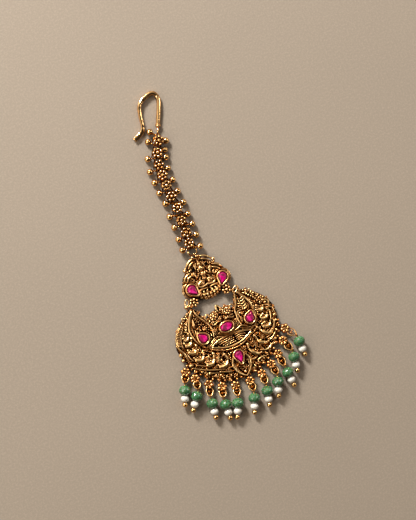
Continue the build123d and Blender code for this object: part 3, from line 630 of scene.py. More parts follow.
UPPER_WIRES = [
    ([(5.5, 14.2, 1.3), (5.9, 13.9, 1.0)], 0.5),
    # Eyebrow, necklace and folds of the skirt.
    ([(0.14, 22.66, 3.02), (0.36, 22.72, 2.97), (0.55, 22.62, 2.87)], 0.05, 5),
    ([(1.45, 20.9, 2.35), (1.65, 20.2, 2.6), (1.35, 19.9, 2.35)], 0.13, 6),
    ([(0.8, 18.05, 2.6), (0.94, 17.3, 2.76)], [0.08, 0.1], 5),
    ([(1.35, 17.89, 2.6), (1.49, 17.18, 2.76)], [0.08, 0.1], 5),
    ([(1.9, 17.73, 2.6), (2.04, 17.06, 2.76)], [0.08, 0.1], 5),
    ([(2.45, 17.57, 2.6), (2.59, 16.94, 2.76)], [0.08, 0.1], 5),
]
# Arms, from shoulder to elbow and from elbow to hand.
ARMS = [
    [(1.0, 20.95, 2.1), (1.8, 20.2, 2.2), (2.35, 19.6, 2.15)],
    [(2.35, 19.6, 2.15), (2.75, 20.3, 2.25), (2.75, 21.1, 2.25)],
]
# Balls on both sides: x, y, height, radius, sides, wear, flatness.
UPPER_BALLS = [
    (5.5, 23.6, 2.0, 0.66, 18),
    (3.9, 22.95, 2.0, 0.4, 12),
    # Eye, ear and earring, bust, lotus heart and knee.
    (0.32, 22.47, 2.98, 0.11, 8, 1.3),
    (1.05, 22.15, 2.2, 0.34, 12),
    (1.05, 21.6, 2.1, 0.26, 10),
    (0.55, 20.15, 2.5, 0.5, 14, 1.2),
    (3.2, 21.3, 2.35, 0.3),
    (1.65, 17.15, 1.85, 1.15, 16, 1.0, 0.6),
]
# Face and chin, the tip of the crown, and three balls at the top of the plaque.
MIDDLE_BALLS = [
    (0, 22.4, 2.3, 0.94, 24, 1.3, 0.82),
    (0, 21.9, 2.36, 0.62, 18, 1.3, 0.9),
    (0, 25.35, 2.1, 0.26, 8),
    (0.4, 26.75, 1.75, 0.5, 14),
    (-1.15, 26.9, 1.35, 0.42, 12),
    (1.25, 26.75, 1.3, 0.36, 12),
]
# Nose, mouth, crown, neck and body.
MIDDLE_WIRES = [
    ([(0, 22.62, 3.04), (0, 22.2, 3.16)], [0.07, 0.12], 6, 1.3),
    ([(-0.21, 21.88, 2.95), (0, 21.86, 3.0), (0.21, 21.88, 2.95)], [0.04, 0.08, 0.04], 6),
    ([(0, 23.1, 2.1), (0, 24.4, 2.1), (0, 25.3, 2.05)], [0.86, 0.55, 0.2], 14),
    ([(0, 21.6, 2.1), (0, 21.0, 2.0)], [0.4, 0.46], 12),
]
BODY = [(0, 21.3, 1.9), (0, 20.4, 2.0), (0, 19.4, 1.95), (0, 18.7, 1.9), (0, 17.9, 1.85)]
CROWN_BANDS = [(23.12, 0.98), (23.54, 0.86), (23.94, 0.7), (24.32, 0.54), (24.66, 0.4)]
# Bead rows along the foot: y, reach to each side, rise at the ends, how many, radius.
BEAD_ROWS = [(12.95, 5.0, 1.2, 9, 0.58), (12.05, 3.5, 0.7, 7, 0.52), (11.5, 1.2, 0.1, 3, 0.4)]
ANTIQUE_GOLD = gold_material(
    "antique_gold", (0.98, 0.65, 0.265), (0.70, 0.182, 0.013), (0.012, 0.0022, 0.0003),
    depth=0.29, polish=0.37, bump=0.03,
)


def mirrored_edge(half):
    """A whole outline, from its right half listed downwards from the top on the middle line."""
    left = [(-x, y) for x, y in reversed(half) if abs(x) > 0.01]
    return np.array(half + [(0, half[-1][1] - 0.05)] + left)


def plate(wax, edge, low, high, holes=(), relief=0.1):
    """Lays a flat plate with an outline, pierced by holes."""
    loops = [np.array(edge)] + [np.array(hole) for hole in holes]
    flat = np.concatenate(loops)
    corners = []
    for tri in tessellate_polygon([[(x, y, 0) for x, y in loop] for loop in loops]):
        a, b, c = (flat[i] for i in tri)
        twice_area = (b[0] - a[0]) * (c[1] - a[1]) - (b[1] - a[1]) * (c[0] - a[0])
        if abs(twice_area) > 1e-9:
            corners.append(tuple(tri) if twice_area > 0 else tuple(reversed(tri)))
    count = len(flat)
    points = np.concatenate([np.column_stack([flat, np.full(count, z)]) for z in (high, low)])
    faces = corners + [tuple(i + count for i in reversed(tri)) for tri in corners]
    start = 0
    for index, loop in enumerate(loops):
        size = len(loop)
        area = np.sum(loop[:, 0] * np.roll(loop[:, 1], -1) - np.roll(loop[:, 0], -1) * loop[:, 1])
        outward = (area > 0) == (index == 0)
        for step in range(size):
            here, there = start + step, start + (step + 1) % size
            face = (here, there, there + count, here + count)
            faces.append(tuple(reversed(face)) if outward else face)
        start += size
    wax.lay(points, faces, relief)


def oval(x, y, wide, deep, count):
    """Points round an oval, given its reach in x and in y."""
    angle = round_turn(count)
    return np.column_stack([x + wide * np.cos(angle), y + deep * np.sin(angle)])


def turned(x, y, degrees, px, py):
    """A flat point of a shape that is turned by an angle and set down at x, y."""
    c, s = math.cos(math.radians(degrees)), math.sin(math.radians(degrees))
    return x + px * c - py * s, y + px * s + py * c


def flat_ring(wax, middle, wide, deep, thick, degrees=0, count=24, sides=10):
    """Lays a ring of round wire flat, its long way at an angle from +X."""
    path = [(*turned(*middle[:2], degrees, px, py), middle[2]) for px, py in oval(0, 0, wide, deep, count)]
    wax.wire(path, thick, sides, closed=True)


def pear_edge(place, size, grow=0.0, count=44):
    """A pear's outline round its big end's centre, larger by grow all round."""
    x, y, turn = place
    width, length = size
    reach = length - width / 2 - PEAR_TIP_R
    lean = math.asin((width / 2 - PEAR_TIP_R) / reach)
    few = count // 3
    small, large = PEAR_TIP_R + grow, width / 2 + grow
    tip_angles = np.linspace(lean, math.pi - lean, few)
    end_angles = np.linspace(math.pi - lean, 2 * math.pi + lean, count - few + 1)[:-1]
    points = [polar(0, reach, 0, small, a)[:2] for a in tip_angles]
    points += [polar(0, 0, 0, large, a)[:2] for a in end_angles]
    return np.array([turned(x, y, turn, *point) for point in points])


def bezel(wax, outline, foot, top, seat):
    """Lays the smooth collar that holds a stone; outline(grow) gives its shape, larger by grow all round. A
    row of its profile is how much larger, at what height, and the relief there."""
    profile = [(0.8, foot, 0.0), (0.8, top - 0.9, 0.4), (0.76, top - 0.5, 0.7), (0.64, top - 0.17, 0.8)]
    profile += [(0.46, top, 1.0), (0.28, top - 0.06, 1.5), (0.12, top - 0.26, 1.1), (0.02, top - 0.62, 0.2)]
    profile += [(-0.02, seat, 0.0)]
    rings = np.array([[(px, py, z) for px, py in outline(grow)] for grow, z, relief in profile])
    wax.skin(rings, np.repeat([relief for grow, z, relief in profile], rings.shape[1]), caps=False)


def inside(edge, x, y):
    """Whether a point lies within an outline."""
    within = False
    for (ax, ay), (bx, by) in zip(edge, np.roll(edge, -1, axis=0)):
        if (ay > y) != (by > y) and x < (bx - ax) * (y - ay) / (by - ay) + ax:
            within = not within
    return within


def scattered(wax, edge, gap, tries, clear):
    """Gives chance places within an outline, a gap apart or more and clear of some circles, one by one."""
    low, high = edge.min(axis=0), edge.max(axis=0)
    placed = []
    for attempt in range(int(tries * np.prod(high - low) / gap**2)):
        x, y = wax.chance.uniform(low[0], high[0]), wax.chance.uniform(low[1], high[1])
        if not inside(edge, x, y) or any(math.hypot(x - cx, y - cy) < r for cx, cy, r in clear):
            continue
        if any(abs(x - px) < gap and math.hypot(x - px, y - py) < gap for px, py in placed):
            continue
        placed.append((x, y))
        yield x, y


def arc(x, y, z, bend, start, sweep):
    """Six points along a level arc."""
    return [polar(x, y, z, bend, start + t * sweep) for t in np.linspace(0, 1, 6)]


def ground(wax, edge, z, gap, size, clear=(), curls=0.4):
    """Fills the ground between the larger shapes with granules and little curls of wire, in chance
    places."""
    for x, y in scattered(wax, edge, gap, 26, clear):
        thick = size * wax.chance.uniform(0.8, 1.2)
        if wax.chance.random() < curls:
            start, sweep = wax.chance.uniform(0, 6.3), wax.chance.uniform(1.8, 3.4)
            path = arc(x, y, z + 0.1, gap * 0.42, start, sweep)
            wax.wire(path, [thick * 0.55, thick * 0.8, thick * 0.5], 6, worn=0.85)
        else:
            wax.ball((x, y, z), thick, 8, worn=0.9)


def leaflets(wax, edge, z, gap, clear, size=1.0):
    """Fills ground with little leaves, each of three or four nested wire arcs with a granule at its root."""
    for x, y in scattered(wax, edge, gap, 30, clear):
        start, sweep = wax.chance.uniform(0, 6.3), wax.chance.choice((-1, 1)) * wax.chance.uniform(1.7, 2.6)
        lift = wax.chance.uniform(0, 0.2)
        for number in range(wax.chance.choice((3, 3, 4))):
            bend = size * (0.24 + 0.34 * number)
            path = arc(x, y, z + lift - 0.07 * number, bend, start, sweep / (1 + 0.12 * number))
            wax.wire(path, [0.1 * size, 0.2 * size, 0.17 * size, 0.08 * size], 5, worn=1.0 - 0.08 * number)
        wax.ball((x, y, z + lift), 0.26 * size, 8)


def strand(wax, points, z, radius, sides=8, worn=1.0, steps=5):
    """Lays a smooth wire over flat points; z and radius are one value, or a few spread along it."""
    line = curve([(x, y, 0) for x, y in points], steps)
    line[:, 2] = spread(z, len(line))
    wax.wire(line, radius, sides, worn)


def lay_tables(wax, strands=(), wires=(), balls=(), flips=(-1, 1)):
    """Lays tables of strands, wires and balls, on both sides of the middle line unless flips says
    otherwise."""
    for flip in flips:
        for points, *rest in strands:
            strand(wax, [(flip * x, y) for x, y in points], *rest)
        for points, *rest in wires:
            wax.wire([(flip * x, y, z) for x, y, z in points], *rest)
        for x, y, z, *rest in balls:
            wax.ball((flip * x, y, z), *rest)


upper = Wax(50)
edge = mirrored_edge(UPPER_EDGE)
x, y, window = UPPER_WINDOW
plate(upper, edge, 0, PLATE, [oval(side * x, y, window, window, 14) for side in (-1, 1)])
clear = [(0, 22.7, 1.3), (x, y, 0.85), (-x, y, 0.85), (-5.9, 16.1, 2.4), (5.9, 16.1, 2.4)]
leaflets(upper, edge * np.array((0.95, 1)), PLATE + 0.22, 1.45, clear, size=0.85)
ground(upper, edge * np.array((0.96, 1)), PLATE + 0.12, 0.66, 0.25, clear)
for side in (-1, 1):
    place = (side * UPPER_STONE[0], UPPER_STONE[1], side * UPPER_STONE[2])
    bezel(upper, lambda grow: pear_edge(place, UPPER_PEAR, grow), PLATE - 0.3, BEZEL_TOP, SEAT_Z)
    # Two rims stand round the outer side of the bezel.
    for reach, thick, z in ((1.15, 0.24, 1.75), (1.55, 0.2, 1.45)):
        rim = pear_edge(place, UPPER_PEAR, reach, count=60)
        rim = [p for p in rim if side * (p[0] - place[0]) > -0.2 or p[1] > 18.0]
        rim.sort(key=lambda p: math.atan2(p[1] - 17.0, side * (p[0] - place[0])))
        upper.wire([(*p, z) for p in rim], [0.12, thick, thick, 0.12])
    flat_ring(upper, (side * UPPER_LUG[0], UPPER_LUG[1], LUG_Z), LUG_MID_R, LUG_MID_R, 0.22, count=22)
for row, (foot, reach, rise, count, thick) in enumerate(BEAD_ROWS):
    for share in np.linspace(-1, 1, count):
        at = (reach * share, foot + rise * share * share, PLATE + 0.55 - 0.3 * row)
        upper.ball(at, thick * upper.chance.uniform(0.92, 1.06), 12)
upper.wire(ring_path(UPPER_EYE, (1, 0, 0), 0.64), 0.22, closed=True)
lay_tables(upper, UPPER_STRANDS, UPPER_WIRES, UPPER_BALLS)
lay_tables(upper, (), MIDDLE_WIRES, MIDDLE_BALLS, flips=(1,))
upper.wire(BODY, [0.6, 1.0, 0.72, 0.56, 0.9], 18, height=0.8)
for y, wide in CROWN_BANDS:
    upper.wire([(-wide, y, 2.15), (0, y + 0.07, 2.6), (wide, y, 2.15)], [0.17, 0.24, 0.17], worn=1.2)
for side in (-1, 1):
    granulated_flower(upper, side * 3.2, 21.3, 1.8, 0.48, 0.3, 6)
    for arm in ARMS:
        upper.wire(curve([(side * x, y, z) for x, y, z in arm], 4), [0.28, 0.24, 0.2], 12)
# A string of beads over the chest and one round the waist.
for a in np.linspace(0.08 * math.pi, 0.92 * math.pi, 9):
    upper.ball((0.85 * math.cos(a), 21.15 - 0.7 * math.sin(a), 2.68), 0.14, 6)
    upper.ball((0.78 * math.cos(a), 18.65 - 0.14 * math.sin(a), 2.42), 0.13, 6)
upper.cast("upper_plaque", ANTIQUE_GOLD, "antique_gold", ["upper_pendant"])


# ---- Connectors
# One on each side, between the plaques: a granulated flower over two short wires that end in eyes round the
# lugs, with a long open ring, and on the left a ball, soldered beside it. The same oxidised gold.
LOWER_LUG = (9.1, 10.9)
JOINER_EYE_R = 0.6
for side, name, (x, y) in ((-1, "left", (-7.0, 12.25)), (1, "right", (5.5, 11.9))):
    joiner = Wax(60 + side)
    for lug_x, lug_y in (UPPER_LUG, LOWER_LUG):
        lug = np.array((side * lug_x, lug_y, LUG_Z))
        inward = unit(np.array((x, y, LUG_Z)) - lug)
        eye = lug + inward * LUG_MID_R
        joiner.wire(ring_path(eye, (-inward[1], inward[0], 0), JOINER_EYE_R, 16), 0.2, closed=True)
        joiner.wire([eye + inward * 0.5, (x, y, 1.95)], 0.22)
    granulated_flower(joiner, x, y, 1.75, 1.2, 0.5, 7, 0.3)
    loose_ring(joiner, x, y, 1.5, 1.25, 0.38, 0.6)
    if side < 0:
        flat_ring(joiner, (-9.25, 13.1, 1.7), 1.1, 0.7, 0.27, 66)
        joiner.ball((-10.0, 11.8, 1.5), 0.82, 20)
        joiner.wire(curve([(-9.6, 11.6, 1.7), (-8.7, 11.7, 2.1), (-8.1, 10.9, 2.0)], 5), 0.28, 10)
    else:
        flat_ring(joiner, (8.4, 10.75, 1.95), 1.4, 0.66, 0.27, 38)
        joiner.wire([(x + 0.9, y - 0.2, 1.7), (7.6, 10.9, 1.9)], 0.26)
        joiner.ball((7.0, 10.9, 1.6), 0.5, 12)
    joiner.cast(f"joiner_{name}", ANTIQUE_GOLD, "antique_gold", [f"connector_{name}"])


# ---- Lower pendant
# The large crescent plaque, cast in one: two leaf-shaped horns and a boat between them, inside wire borders,
# with wave scrolls all round and a hanging leaf. The same oxidised gold, its ground nearly black and its
# high parts bright.
FOOT_CENTRE = np.array((0, 1))
HORN_STONE = (9.0, -0.6, -32)
HORN_PEAR = (3.1, 3.9)
LEAF_STONE = (0, -10.8, 180)
LEAF_PEAR = (2.9, 4.3)
OVAL_REACH = (2.25, 1.45)
OVAL_SEAT_Z = 2.4
OVAL_TOP = 3.6
CREST_HOLE = (0, 6.8, 0.4)


def outward(degrees):
    """The level way at an angle from straight down towards +X."""
    return np.array((math.sin(math.radians(degrees)), -math.cos(math.radians(degrees))))


def on_arc(radius, degrees):
    """A point at a distance from the middle of the foot's arc."""
    return FOOT_CENTRE + radius * outward(degrees)


LOWER_EDGE = [(0, 8.1), (1.2, 6.8), (2.7, 6.6), (4.4, 5.8), (5.4, 4.8), (6.3, 6.6), (7.2, 9.2), (8.2, 10.3)]
LOWER_EDGE += [(10.0, 10.2), (12.4, 8.9), (14.4, 7.4), (16.4, 5.4), (17.8, 3.3), (18.7, 1.1)]
LOWER_EDGE += [tuple(on_arc(19.1, degrees)) for degrees in range(85, 0, -5)]
LEFT_OUTER = [(-9.0, 9.9), (-9.9, 9.0), (-11.0, 7.35), (-12.3, 4.73), (-12.6, 2.45)]
LEFT_OUTER += [(-12.1, 0.18), (-11.1, -1.75), (-9.7, -3.6)]
LEFT_INNER = [(-8.5, 9.8), (-8.05, 7.9), (-7.25, 6.3), (-6.2, 4.55), (-5.67, 3.5)]
LEFT_INNER += [(-5.15, 2.1), (-5.06, 0.0), (-5.4, -1.6)]
RIGHT_OUTER = [(8.4, 9.8), (9.5, 7.9), (10.7, 5.8), (11.3, 3.85), (11.5, 1.4)]
RIGHT_OUTER += [(11.3, -0.7), (10.5, -2.45), (9.5, -3.9)]
RIGHT_INNER = [(7.4, 9.5), (6.9, 7.9), (6.3, 5.9), (5.2, 4.1), (5.1, 2.6)]
RIGHT_INNER += [(4.9, 1.0), (5.0, -0.6), (5.5, -1.9)]
BOAT_TOP = [(-7.6, -4.5), (-5.3, -3.5), (-2.8, -3.1), (0, -3.0), (2.6, -3.1), (5.0, -3.6), (7.8, -4.6)]
BOAT_FOOT = [(-7.6, -4.6), (-5.3, -5.75), (-2.7, -6.65), (0, -6.95), (2.8, -6.75), (5.4, -5.9), (7.8, -4.7)]
LEAF_SIDE = [(1.9, -10.6), (2.9, -12.2), (3.3, -13.8), (2.7, -15.8), (1.3, -17.5), (0.05, -18.5)]
# Strands on both sides: flat points, height, radii, sides.
PAIRED_STRANDS = [
    # Three ribs under the horn.
    ([(9.3, -3.75), (7.0, -2.95), (4.9, -1.75)], 2.15, [0.1, 0.19, 0.12]),
    ([(9.3, -3.874), (7.0, -3.57), (4.9, -2.37)], 2.088, [0.1, 0.19, 0.12]),
    ([(9.3, -3.998), (7.0, -4.19), (4.9, -2.99)], 2.026, [0.1, 0.19, 0.12]),
    # Petals and a scroll beside the oval stone.
    ([(3.35, 0.9), (3.57, 0.0), (3.25, -1.5)], 2.15, [0.1, 0.22, 0.1]),
    ([(3.95, 1.5), (4.17, 0.0), (3.85, -1.5)], 2.15, [0.1, 0.26, 0.1]),
    ([(4.5, 1.2), (4.72, 0.0), (4.4, -1.5)], 2.15, [0.1, 0.2, 0.1]),
    ([(0.6, 2.6), (2.2, 2.7), (3.4, 2.2), (4.3, 2.5)], 2.0, [0.16, 0.26, 0.22, 0.14]),
    # The crest's open loop and small leaf.
    ([(5.3, 4.5), (5.6, 5.4), (5.2, 6.3), (4.5, 6.5), (4.0, 6.1), (4.1, 5.4)],
     1.8, [0.2, 0.34, 0.34, 0.26, 0.2], 10),
    ([(1.3, 5.9), (1.0, 5.2), (1.4, 4.3)], 1.8, [0.14, 0.28, 0.16]),
    # The hanging leaf's wire and the line inside it.
    (LEAF_SIDE, [2.3, 2.4, 2.3, 2.0], [0.28, 0.36, 0.36, 0.3], 10),
    ([(2.28, -12.1), (2.68, -13.7), (2.08, -15.7), (0.68, -17.4)], 1.9, [0.1, 0.16, 0.1], 6),
]
for vein in range(5):
    y = -13.3 - 0.75 * vein
    PAIRED_STRANDS.append(([(0.2, y - 0.3), (2.0 - 0.3 * vein, y + 0.25)], 1.75, 0.13, 6))
PAIRED_BALLS = [(1.2, 6.2, 1.6, 0.36), (4.4, 4.1, 1.7, 0.34), (9.2, 10.1, 1.6, 0.42, 12)]
PAIRED_BALLS += [(2.7, 5.0, 1.3, 1.3, 14, 0.4, 0.5)]
SINGLE_STRANDS = [
    # The left horn's leaf and wires, and the right horn's curl.
    ([(-10.0, 7.2), (-10.35, 5.6), (-10.6, 3.9)], 2.35, [0.14, 0.4, 0.6, 0.3], 12),
    ([(-9.5, 8.8), (-10.9, 5.4), (-11.5, 3.2), (-11.4, 1.0), (-10.7, -1.6)],
     2.05, [0.14, 0.2, 0.24, 0.2, 0.12]),
    ([(-10.6, 3.0), (-10.8, 1.0), (-10.5, -1.0)], 2.3, [0.26, 0.3, 0.2]),
    ([(7.0, 3.1), (6.2, 3.4), (5.8, 2.6), (5.9, 1.4), (6.1, 0.2), (6.0, -0.8)], 2.15, [0.2, 0.26, 0.24, 0.2]),
    ([(9.9, 2.6), (10.4, 3.6), (10.1, 5.0)], 2.2, [0.16, 0.28, 0.14]),
    # The boat's borders and the two wires over it.
    (BOAT_TOP, 2.25, [0.2, 0.3, 0.26, 0.24, 0.2], 10),
    (BOAT_FOOT, 2.3, [0.24, 0.36, 0.36, 0.36, 0.24], 10),
    ([(x, y - 0.55) for x, y in BOAT_FOOT], 1.7, 0.16, 6),
    ([(1.2, -2.7), (3.2, -2.3), (4.8, -1.7), (6.4, -2.3), (8.0, -3.6)], 2.35, [0.14, 0.26, 0.28, 0.24, 0.14]),
    ([(-1.4, -2.8), (-3.2, -2.4), (-4.6, -1.9)], 2.3, [0.14, 0.24, 0.14]),
    # The crest's pierced bud.
    ([(0.55, 6.0), (0.62, 6.9), (0.1, 8.1), (-0.45, 8.15), (-0.6, 6.9), (-0.5, 6.0)],
     1.9, [0.3, 0.36, 0.3, 0.36, 0.3], 10),
    # Curled wires at the two ends of the rim.
    ([(-18.9, 1.0), (-18.2, -1.0), (-17.4, -2.6), (-17.1, -4.2), (-17.0, -5.6)],
     2.05, [0.2, 0.3, 0.4, 0.36, 0.2], 10),
    ([(-16.4, -3.0), (-16.3, -4.6), (-15.6, -6.2)], 1.9, [0.14, 0.24, 0.14]),
    ([(15.7, 3.3), (16.8, 3.2), (17.6, 2.2), (17.2, 1.2), (16.4, 1.3)], 2.0, [0.18, 0.34, 0.3, 0.16], 10),
    ([(15.8, 0.4), (16.5, -0.8), (16.4, -2.4), (15.9, -4.3)], 2.1, [0.2, 0.3, 0.34, 0.2], 10),
    ([(16.6, 0.4), (17.9, -0.2), (18.1, -1.4), (17.4, -2.0)], 1.9, [0.16, 0.3, 0.26, 0.14], 10),
    ([(16.6, -3.9), (16.7, -5.2), (15.8, -6.6), (14.4, -7.9)], 1.95, [0.16, 0.3, 0.34, 0.2], 10),
    # Long wires of the foot tier.
    ([(-17.0, -8.3), (-14.07, -10.1), (-11.3, -11.5), (-8.8, -12.5), (-6.0, -13.4)],
     2.0, [0.12, 0.32, 0.32, 0.14]),
    ([(-15.2, -7.9), (-13.0, -9.2), (-10.6, -10.6)], 2.0, [0.12, 0.24, 0.24, 0.14]),
    ([(-8.6, -13.4), (-5.6, -14.6), (-3.4, -15.1)], 2.0, [0.12, 0.24, 0.24, 0.14]),
    ([(-13.0, -11.9), (-11.2, -12.7), (-9.0, -13.7)], 2.0, [0.12, 0.24, 0.24, 0.14]),
    ([(11.4, -9.3), (13.7, -8.8), (15.6, -7.2), (16.6, -5.8)], 2.0, [0.12, 0.26, 0.26, 0.14]),
    ([(12.0, -10.5), (14.1, -9.8), (15.7, -8.4)], 2.0, [0.12, 0.3, 0.3, 0.14]),
    ([(8.4, -12.5), (10.3, -13.1), (12.0, -12.5), (13.3, -11.7)], 2.0, [0.12, 0.34, 0.34, 0.14]),
    ([(5.4, -15.1), (7.0, -14.8), (8.8, -14.8)], 2.0, [0.12, 0.34, 0.34, 0.14]),
    ([(3.6, -14.0), (4.8, -14.2), (6.4, -13.9)], 2.0, [0.12, 0.24, 0.24, 0.14]),
]
for number in range(4):
    # Nested ribs in the boat's right half, and collars under the oval bezel.
    y = -3.75 - 0.7 * number
    ends = [(1.6 + 0.1 * number, y), (3.8, y + 0.12), (6.6 - 1.0 * number, y - 0.35)]
    SINGLE_STRANDS.append((ends, 2.15, [0.16, 0.3, 0.14]))
    wide, deep = 3.2 + 0.25 * number, 2.35 + 0.36 * number
    angle = np.linspace(math.pi * 1.1, math.pi * 1.9, 12)
    collar = [(wide * math.cos(a), deep * math.sin(a) - 0.06) for a in angle]
    SINGLE_STRANDS.append((collar, 2.75 - 0.28 * number, [0.12, 0.2, 0.2, 0.12], 8, 1.0, 3))
for step in range(5):
    # Cups one under the other down the right horn.
    y = 7.35 - 0.93 * step
    cup = [(7.75 + 0.08 * step, y + 0.35), (7.7 + 0.1 * step, y - 0.15), (8.6, y - 0.42)]
    cup += [(9.45 + 0.06 * step, y), (9.5, y + 0.4)]
    SINGLE_STRANDS.append((cup, [2.25, 2.25, 2.3, 2.4, 2.4], [0.16, 0.25, 0.28, 0.38, 0.3], 8, 1.2))
# Knobs: x, y, height, radius, sides.
SINGLE_BALLS = [
    (-9.6, 3.4, 2.2, 0.36),
    (6.5, 2.4, 2.2, 0.5, 12),
    (7.2, 2.0, 2.2, 0.34),
    (0, -17.0, 1.9, 0.55, 12),
    (-18.7, -2.7, 1.75, 0.72, 14),
    (-18.6, -4.7, 1.75, 0.66, 14),
    (-16.9, -7.4, 1.75, 0.74, 14),
    (16.4, 2.4, 1.75, 0.6, 14),
    (17.2, 0.8, 1.75, 0.5, 14),
    (17.7, -3.0, 1.75, 0.66, 14),
    (17.4, -4.9, 1.75, 0.6, 14),
    (-14.1, -11.0, 1.75, 0.5, 12),
    (-12.9, -12.5, 1.75, 0.46, 12),
    (13.6, -12.2, 1.75, 0.5, 12),
    (16.2, -8.2, 1.75, 0.5, 12),
    (14.6, -10.9, 1.75, 0.46, 12),
    (-9.9, -14.6, 1.75, 0.42, 12),
    (9.8, -14.8, 1.75, 0.42, 12),
]
# Wave scrolls down both sides and along the foot: the crescent's points, its knob, its thickness.
WAVES = [
    ([(-15.7, 2.3), (-15.2, 1.4), (-14.3, 1.3), (-13.4, 2.3)], (-13.2, 3.1), 0.36),
    ([(-15.9, 0.6), (-15.3, -0.7), (-14.2, -0.8), (-13.3, 0.2)], (-12.9, 1.2), 0.44),
    ([(-15.7, -2.0), (-15.2, -3.4), (-13.9, -3.9), (-12.8, -2.9)], (-12.3, -1.7), 0.46),
    ([(-14.8, -5.4), (-13.9, -6.7), (-12.4, -7.2), (-11.2, -6.0)], (-10.9, -4.4), 0.54),
    ([(-11.7, -8.3), (-11.0, -9.6), (-9.4, -9.8), (-8.3, -8.3)], (-8.0, -6.7), 0.54),
    ([(-8.0, -11.1), (-7.0, -12.2), (-5.2, -12.2), (-4.0, -10.6)], (-4.5, -8.6), 0.56),
    ([(15.2, 1.6), (14.6, 0.5), (13.5, 0.4), (12.8, 1.4)], (13.0, 2.4), 0.34),
    ([(15.5, -1.4), (14.8, -2.6), (13.6, -2.7), (12.5, -1.9)], (13.9, -1.2), 0.42),
    ([(15.4, -4.4), (14.6, -5.7), (13.0, -5.6), (12.0, -4.4)], (13.4, -4.0), 0.46),
    ([(14.8, -7.2), (13.4, -8.1), (12.0, -7.4), (10.8, -5.9)], (10.1, -4.6), 0.58),
    ([(11.9, -10.6), (10.6, -10.6), (9.2, -9.8), (8.3, -8.3)], (8.0, -6.9), 0.58),
    ([(8.0, -13.2), (6.6, -13.0), (5.2, -11.8), (4.3, -10.2)], (4.6, -8.7), 0.56),
]
# Ribs between the waves: points, distance between two of them, radius.
RIBS = [
    ([(6.4, -8.4), (7.2, -9.6), (7.0, -11.0)], 0.42, 0.18),
    ([(9.9, -6.9), (10.6, -8.0), (10.2, -9.0)], 0.42, 0.18),
    ([(12.0, -3.2), (12.9, -4.2), (13.0, -5.2)], 0.4, 0.17),
]
# The shoulder's rows of granules and its small curls.
SHOULDER_ROW = [(9.6, 9.9), (11.4, 9.0), (13.4, 7.6), (15.2, 5.9), (16.5, 4.3)]
SECOND_ROW = [(10.4, 8.5), (12.2, 6.9), (13.6, 5.0), (14.2, 3.4)]
RIGHT_ROW = [(10.0, 7.3), (11.0, 6.1), (11.9, 4.8), (12.3, 3.4), (12.5, 1.6), (12.5, -0.2)]
LEFT_ROW = [(-11.6, 7.6), (-13.1, 5.2), (-13.6, 3.6)]
CURLS = [(11.6, 7.9), (13.0, 6.4), (14.6, 5.9), (15.2, 4.4), (12.9, 8.4), (15.9, 3.3), (14.9, 2.9)]
QUILL = [(-18.6, 0.4, 1.9), (-18.1, 2.6, 1.9), (-16.9, 4.8, 1.9), (-15.3, 6.6, 1.9)]


def granules(wax, points, z, radius, gap):
    """Lays a row of granules along a smooth line, at equal steps."""
    line = curve([(x, y, z) for x, y in points], 12)
    run = np.concatenate([[0], np.cumsum(np.linalg.norm(np.diff(line, axis=0), axis=1))])
    for s in np.arange(radius, run[-1], gap):
        at = [np.interp(s, run, line[:, axis]) for axis in range(3)]
        wax.ball(at, radius * wax.chance.uniform(0.88, 1.1), 8)


def ribs(wax, points, gap, radius):
    """Lays three wires side by side, to the left of the way they run; they close up towards both ends."""
    line = curve([(x, y, 0) for x, y in points], 5)
    left = np.cross(UP, unit(np.gradient(line, axis=0)))
    swell = 1 - 0.5 * np.linspace(-1, 1, len(line)) ** 2
    for number in range(3):
        path = line + left * (gap * number * swell)[:, None]
        path[:, 2] = 1.9 - 0.06 * number
        wax.wire(path, [radius * 0.55, radius, radius, radius * 0.5], 6, worn=1 - 0.06 * number)


def wave(wax, points, knob, thick):
    """Lays a wave scroll: a thick bright crescent curled at its start, two thin ribs inside it, a knob at
    its end."""
    strand(wax, points, 1.95, [0.16, thick, thick * 1.3, thick * 1.05, 0.16], 12, 1.3)
    ends, knob = np.array(points, float), np.array(knob)
    middle = ends.mean(axis=0)
    wax.ball((*ends[0], 2.1), 0.42, worn=1.2)
    for number in (1, 2):
        line = ends + (middle - ends) * 0.3 * number + (knob - ends) * 0.12 * number
        strand(wax, line, 2.0 - 0.08 * number, [0.12, 0.24, 0.3, 0.24, 0.12], worn=1.15)
    # Nicks across the crescent, like a cock's comb.
    comb = curve([(x, y, 0) for x, y in points], 3)[2:-2]
    for at, out in zip(comb, unit(comb - (*((middle + knob) / 2), 0))):
        start, end = at + out * thick * 0.55, at + out * (thick * 1.05 + 0.32)
        wax.wire([(*start[:2], 2.15), (*end[:2], 1.8)], [0.2, 0.13], 6, worn=1.2)
    strand(wax, [ends[-1], (ends[-1] + knob) / 2 + 0.12, knob], 1.95, [0.3, 0.34, 0.3])
    wax.ball((*knob, 1.9), 0.56, 14)


lower = Wax(70)
edge = mirrored_edge(LOWER_EDGE)
x, y, hole = CREST_HOLE
plate(lower, edge, 0, PLATE, [oval(x, y, hole, hole, 10)])
clear = [(0, 0, 3.2), (0, -11.2, 2.6), (9.0, -0.6, 2.6), (-9.0, -0.6, 2.6), (0, 6.8, 1.0)]
leaflets(lower, edge * 0.975, PLATE + 0.28, 1.5, clear)
ground(lower, edge * 0.985, PLATE + 0.14, 0.74, 0.28, clear)

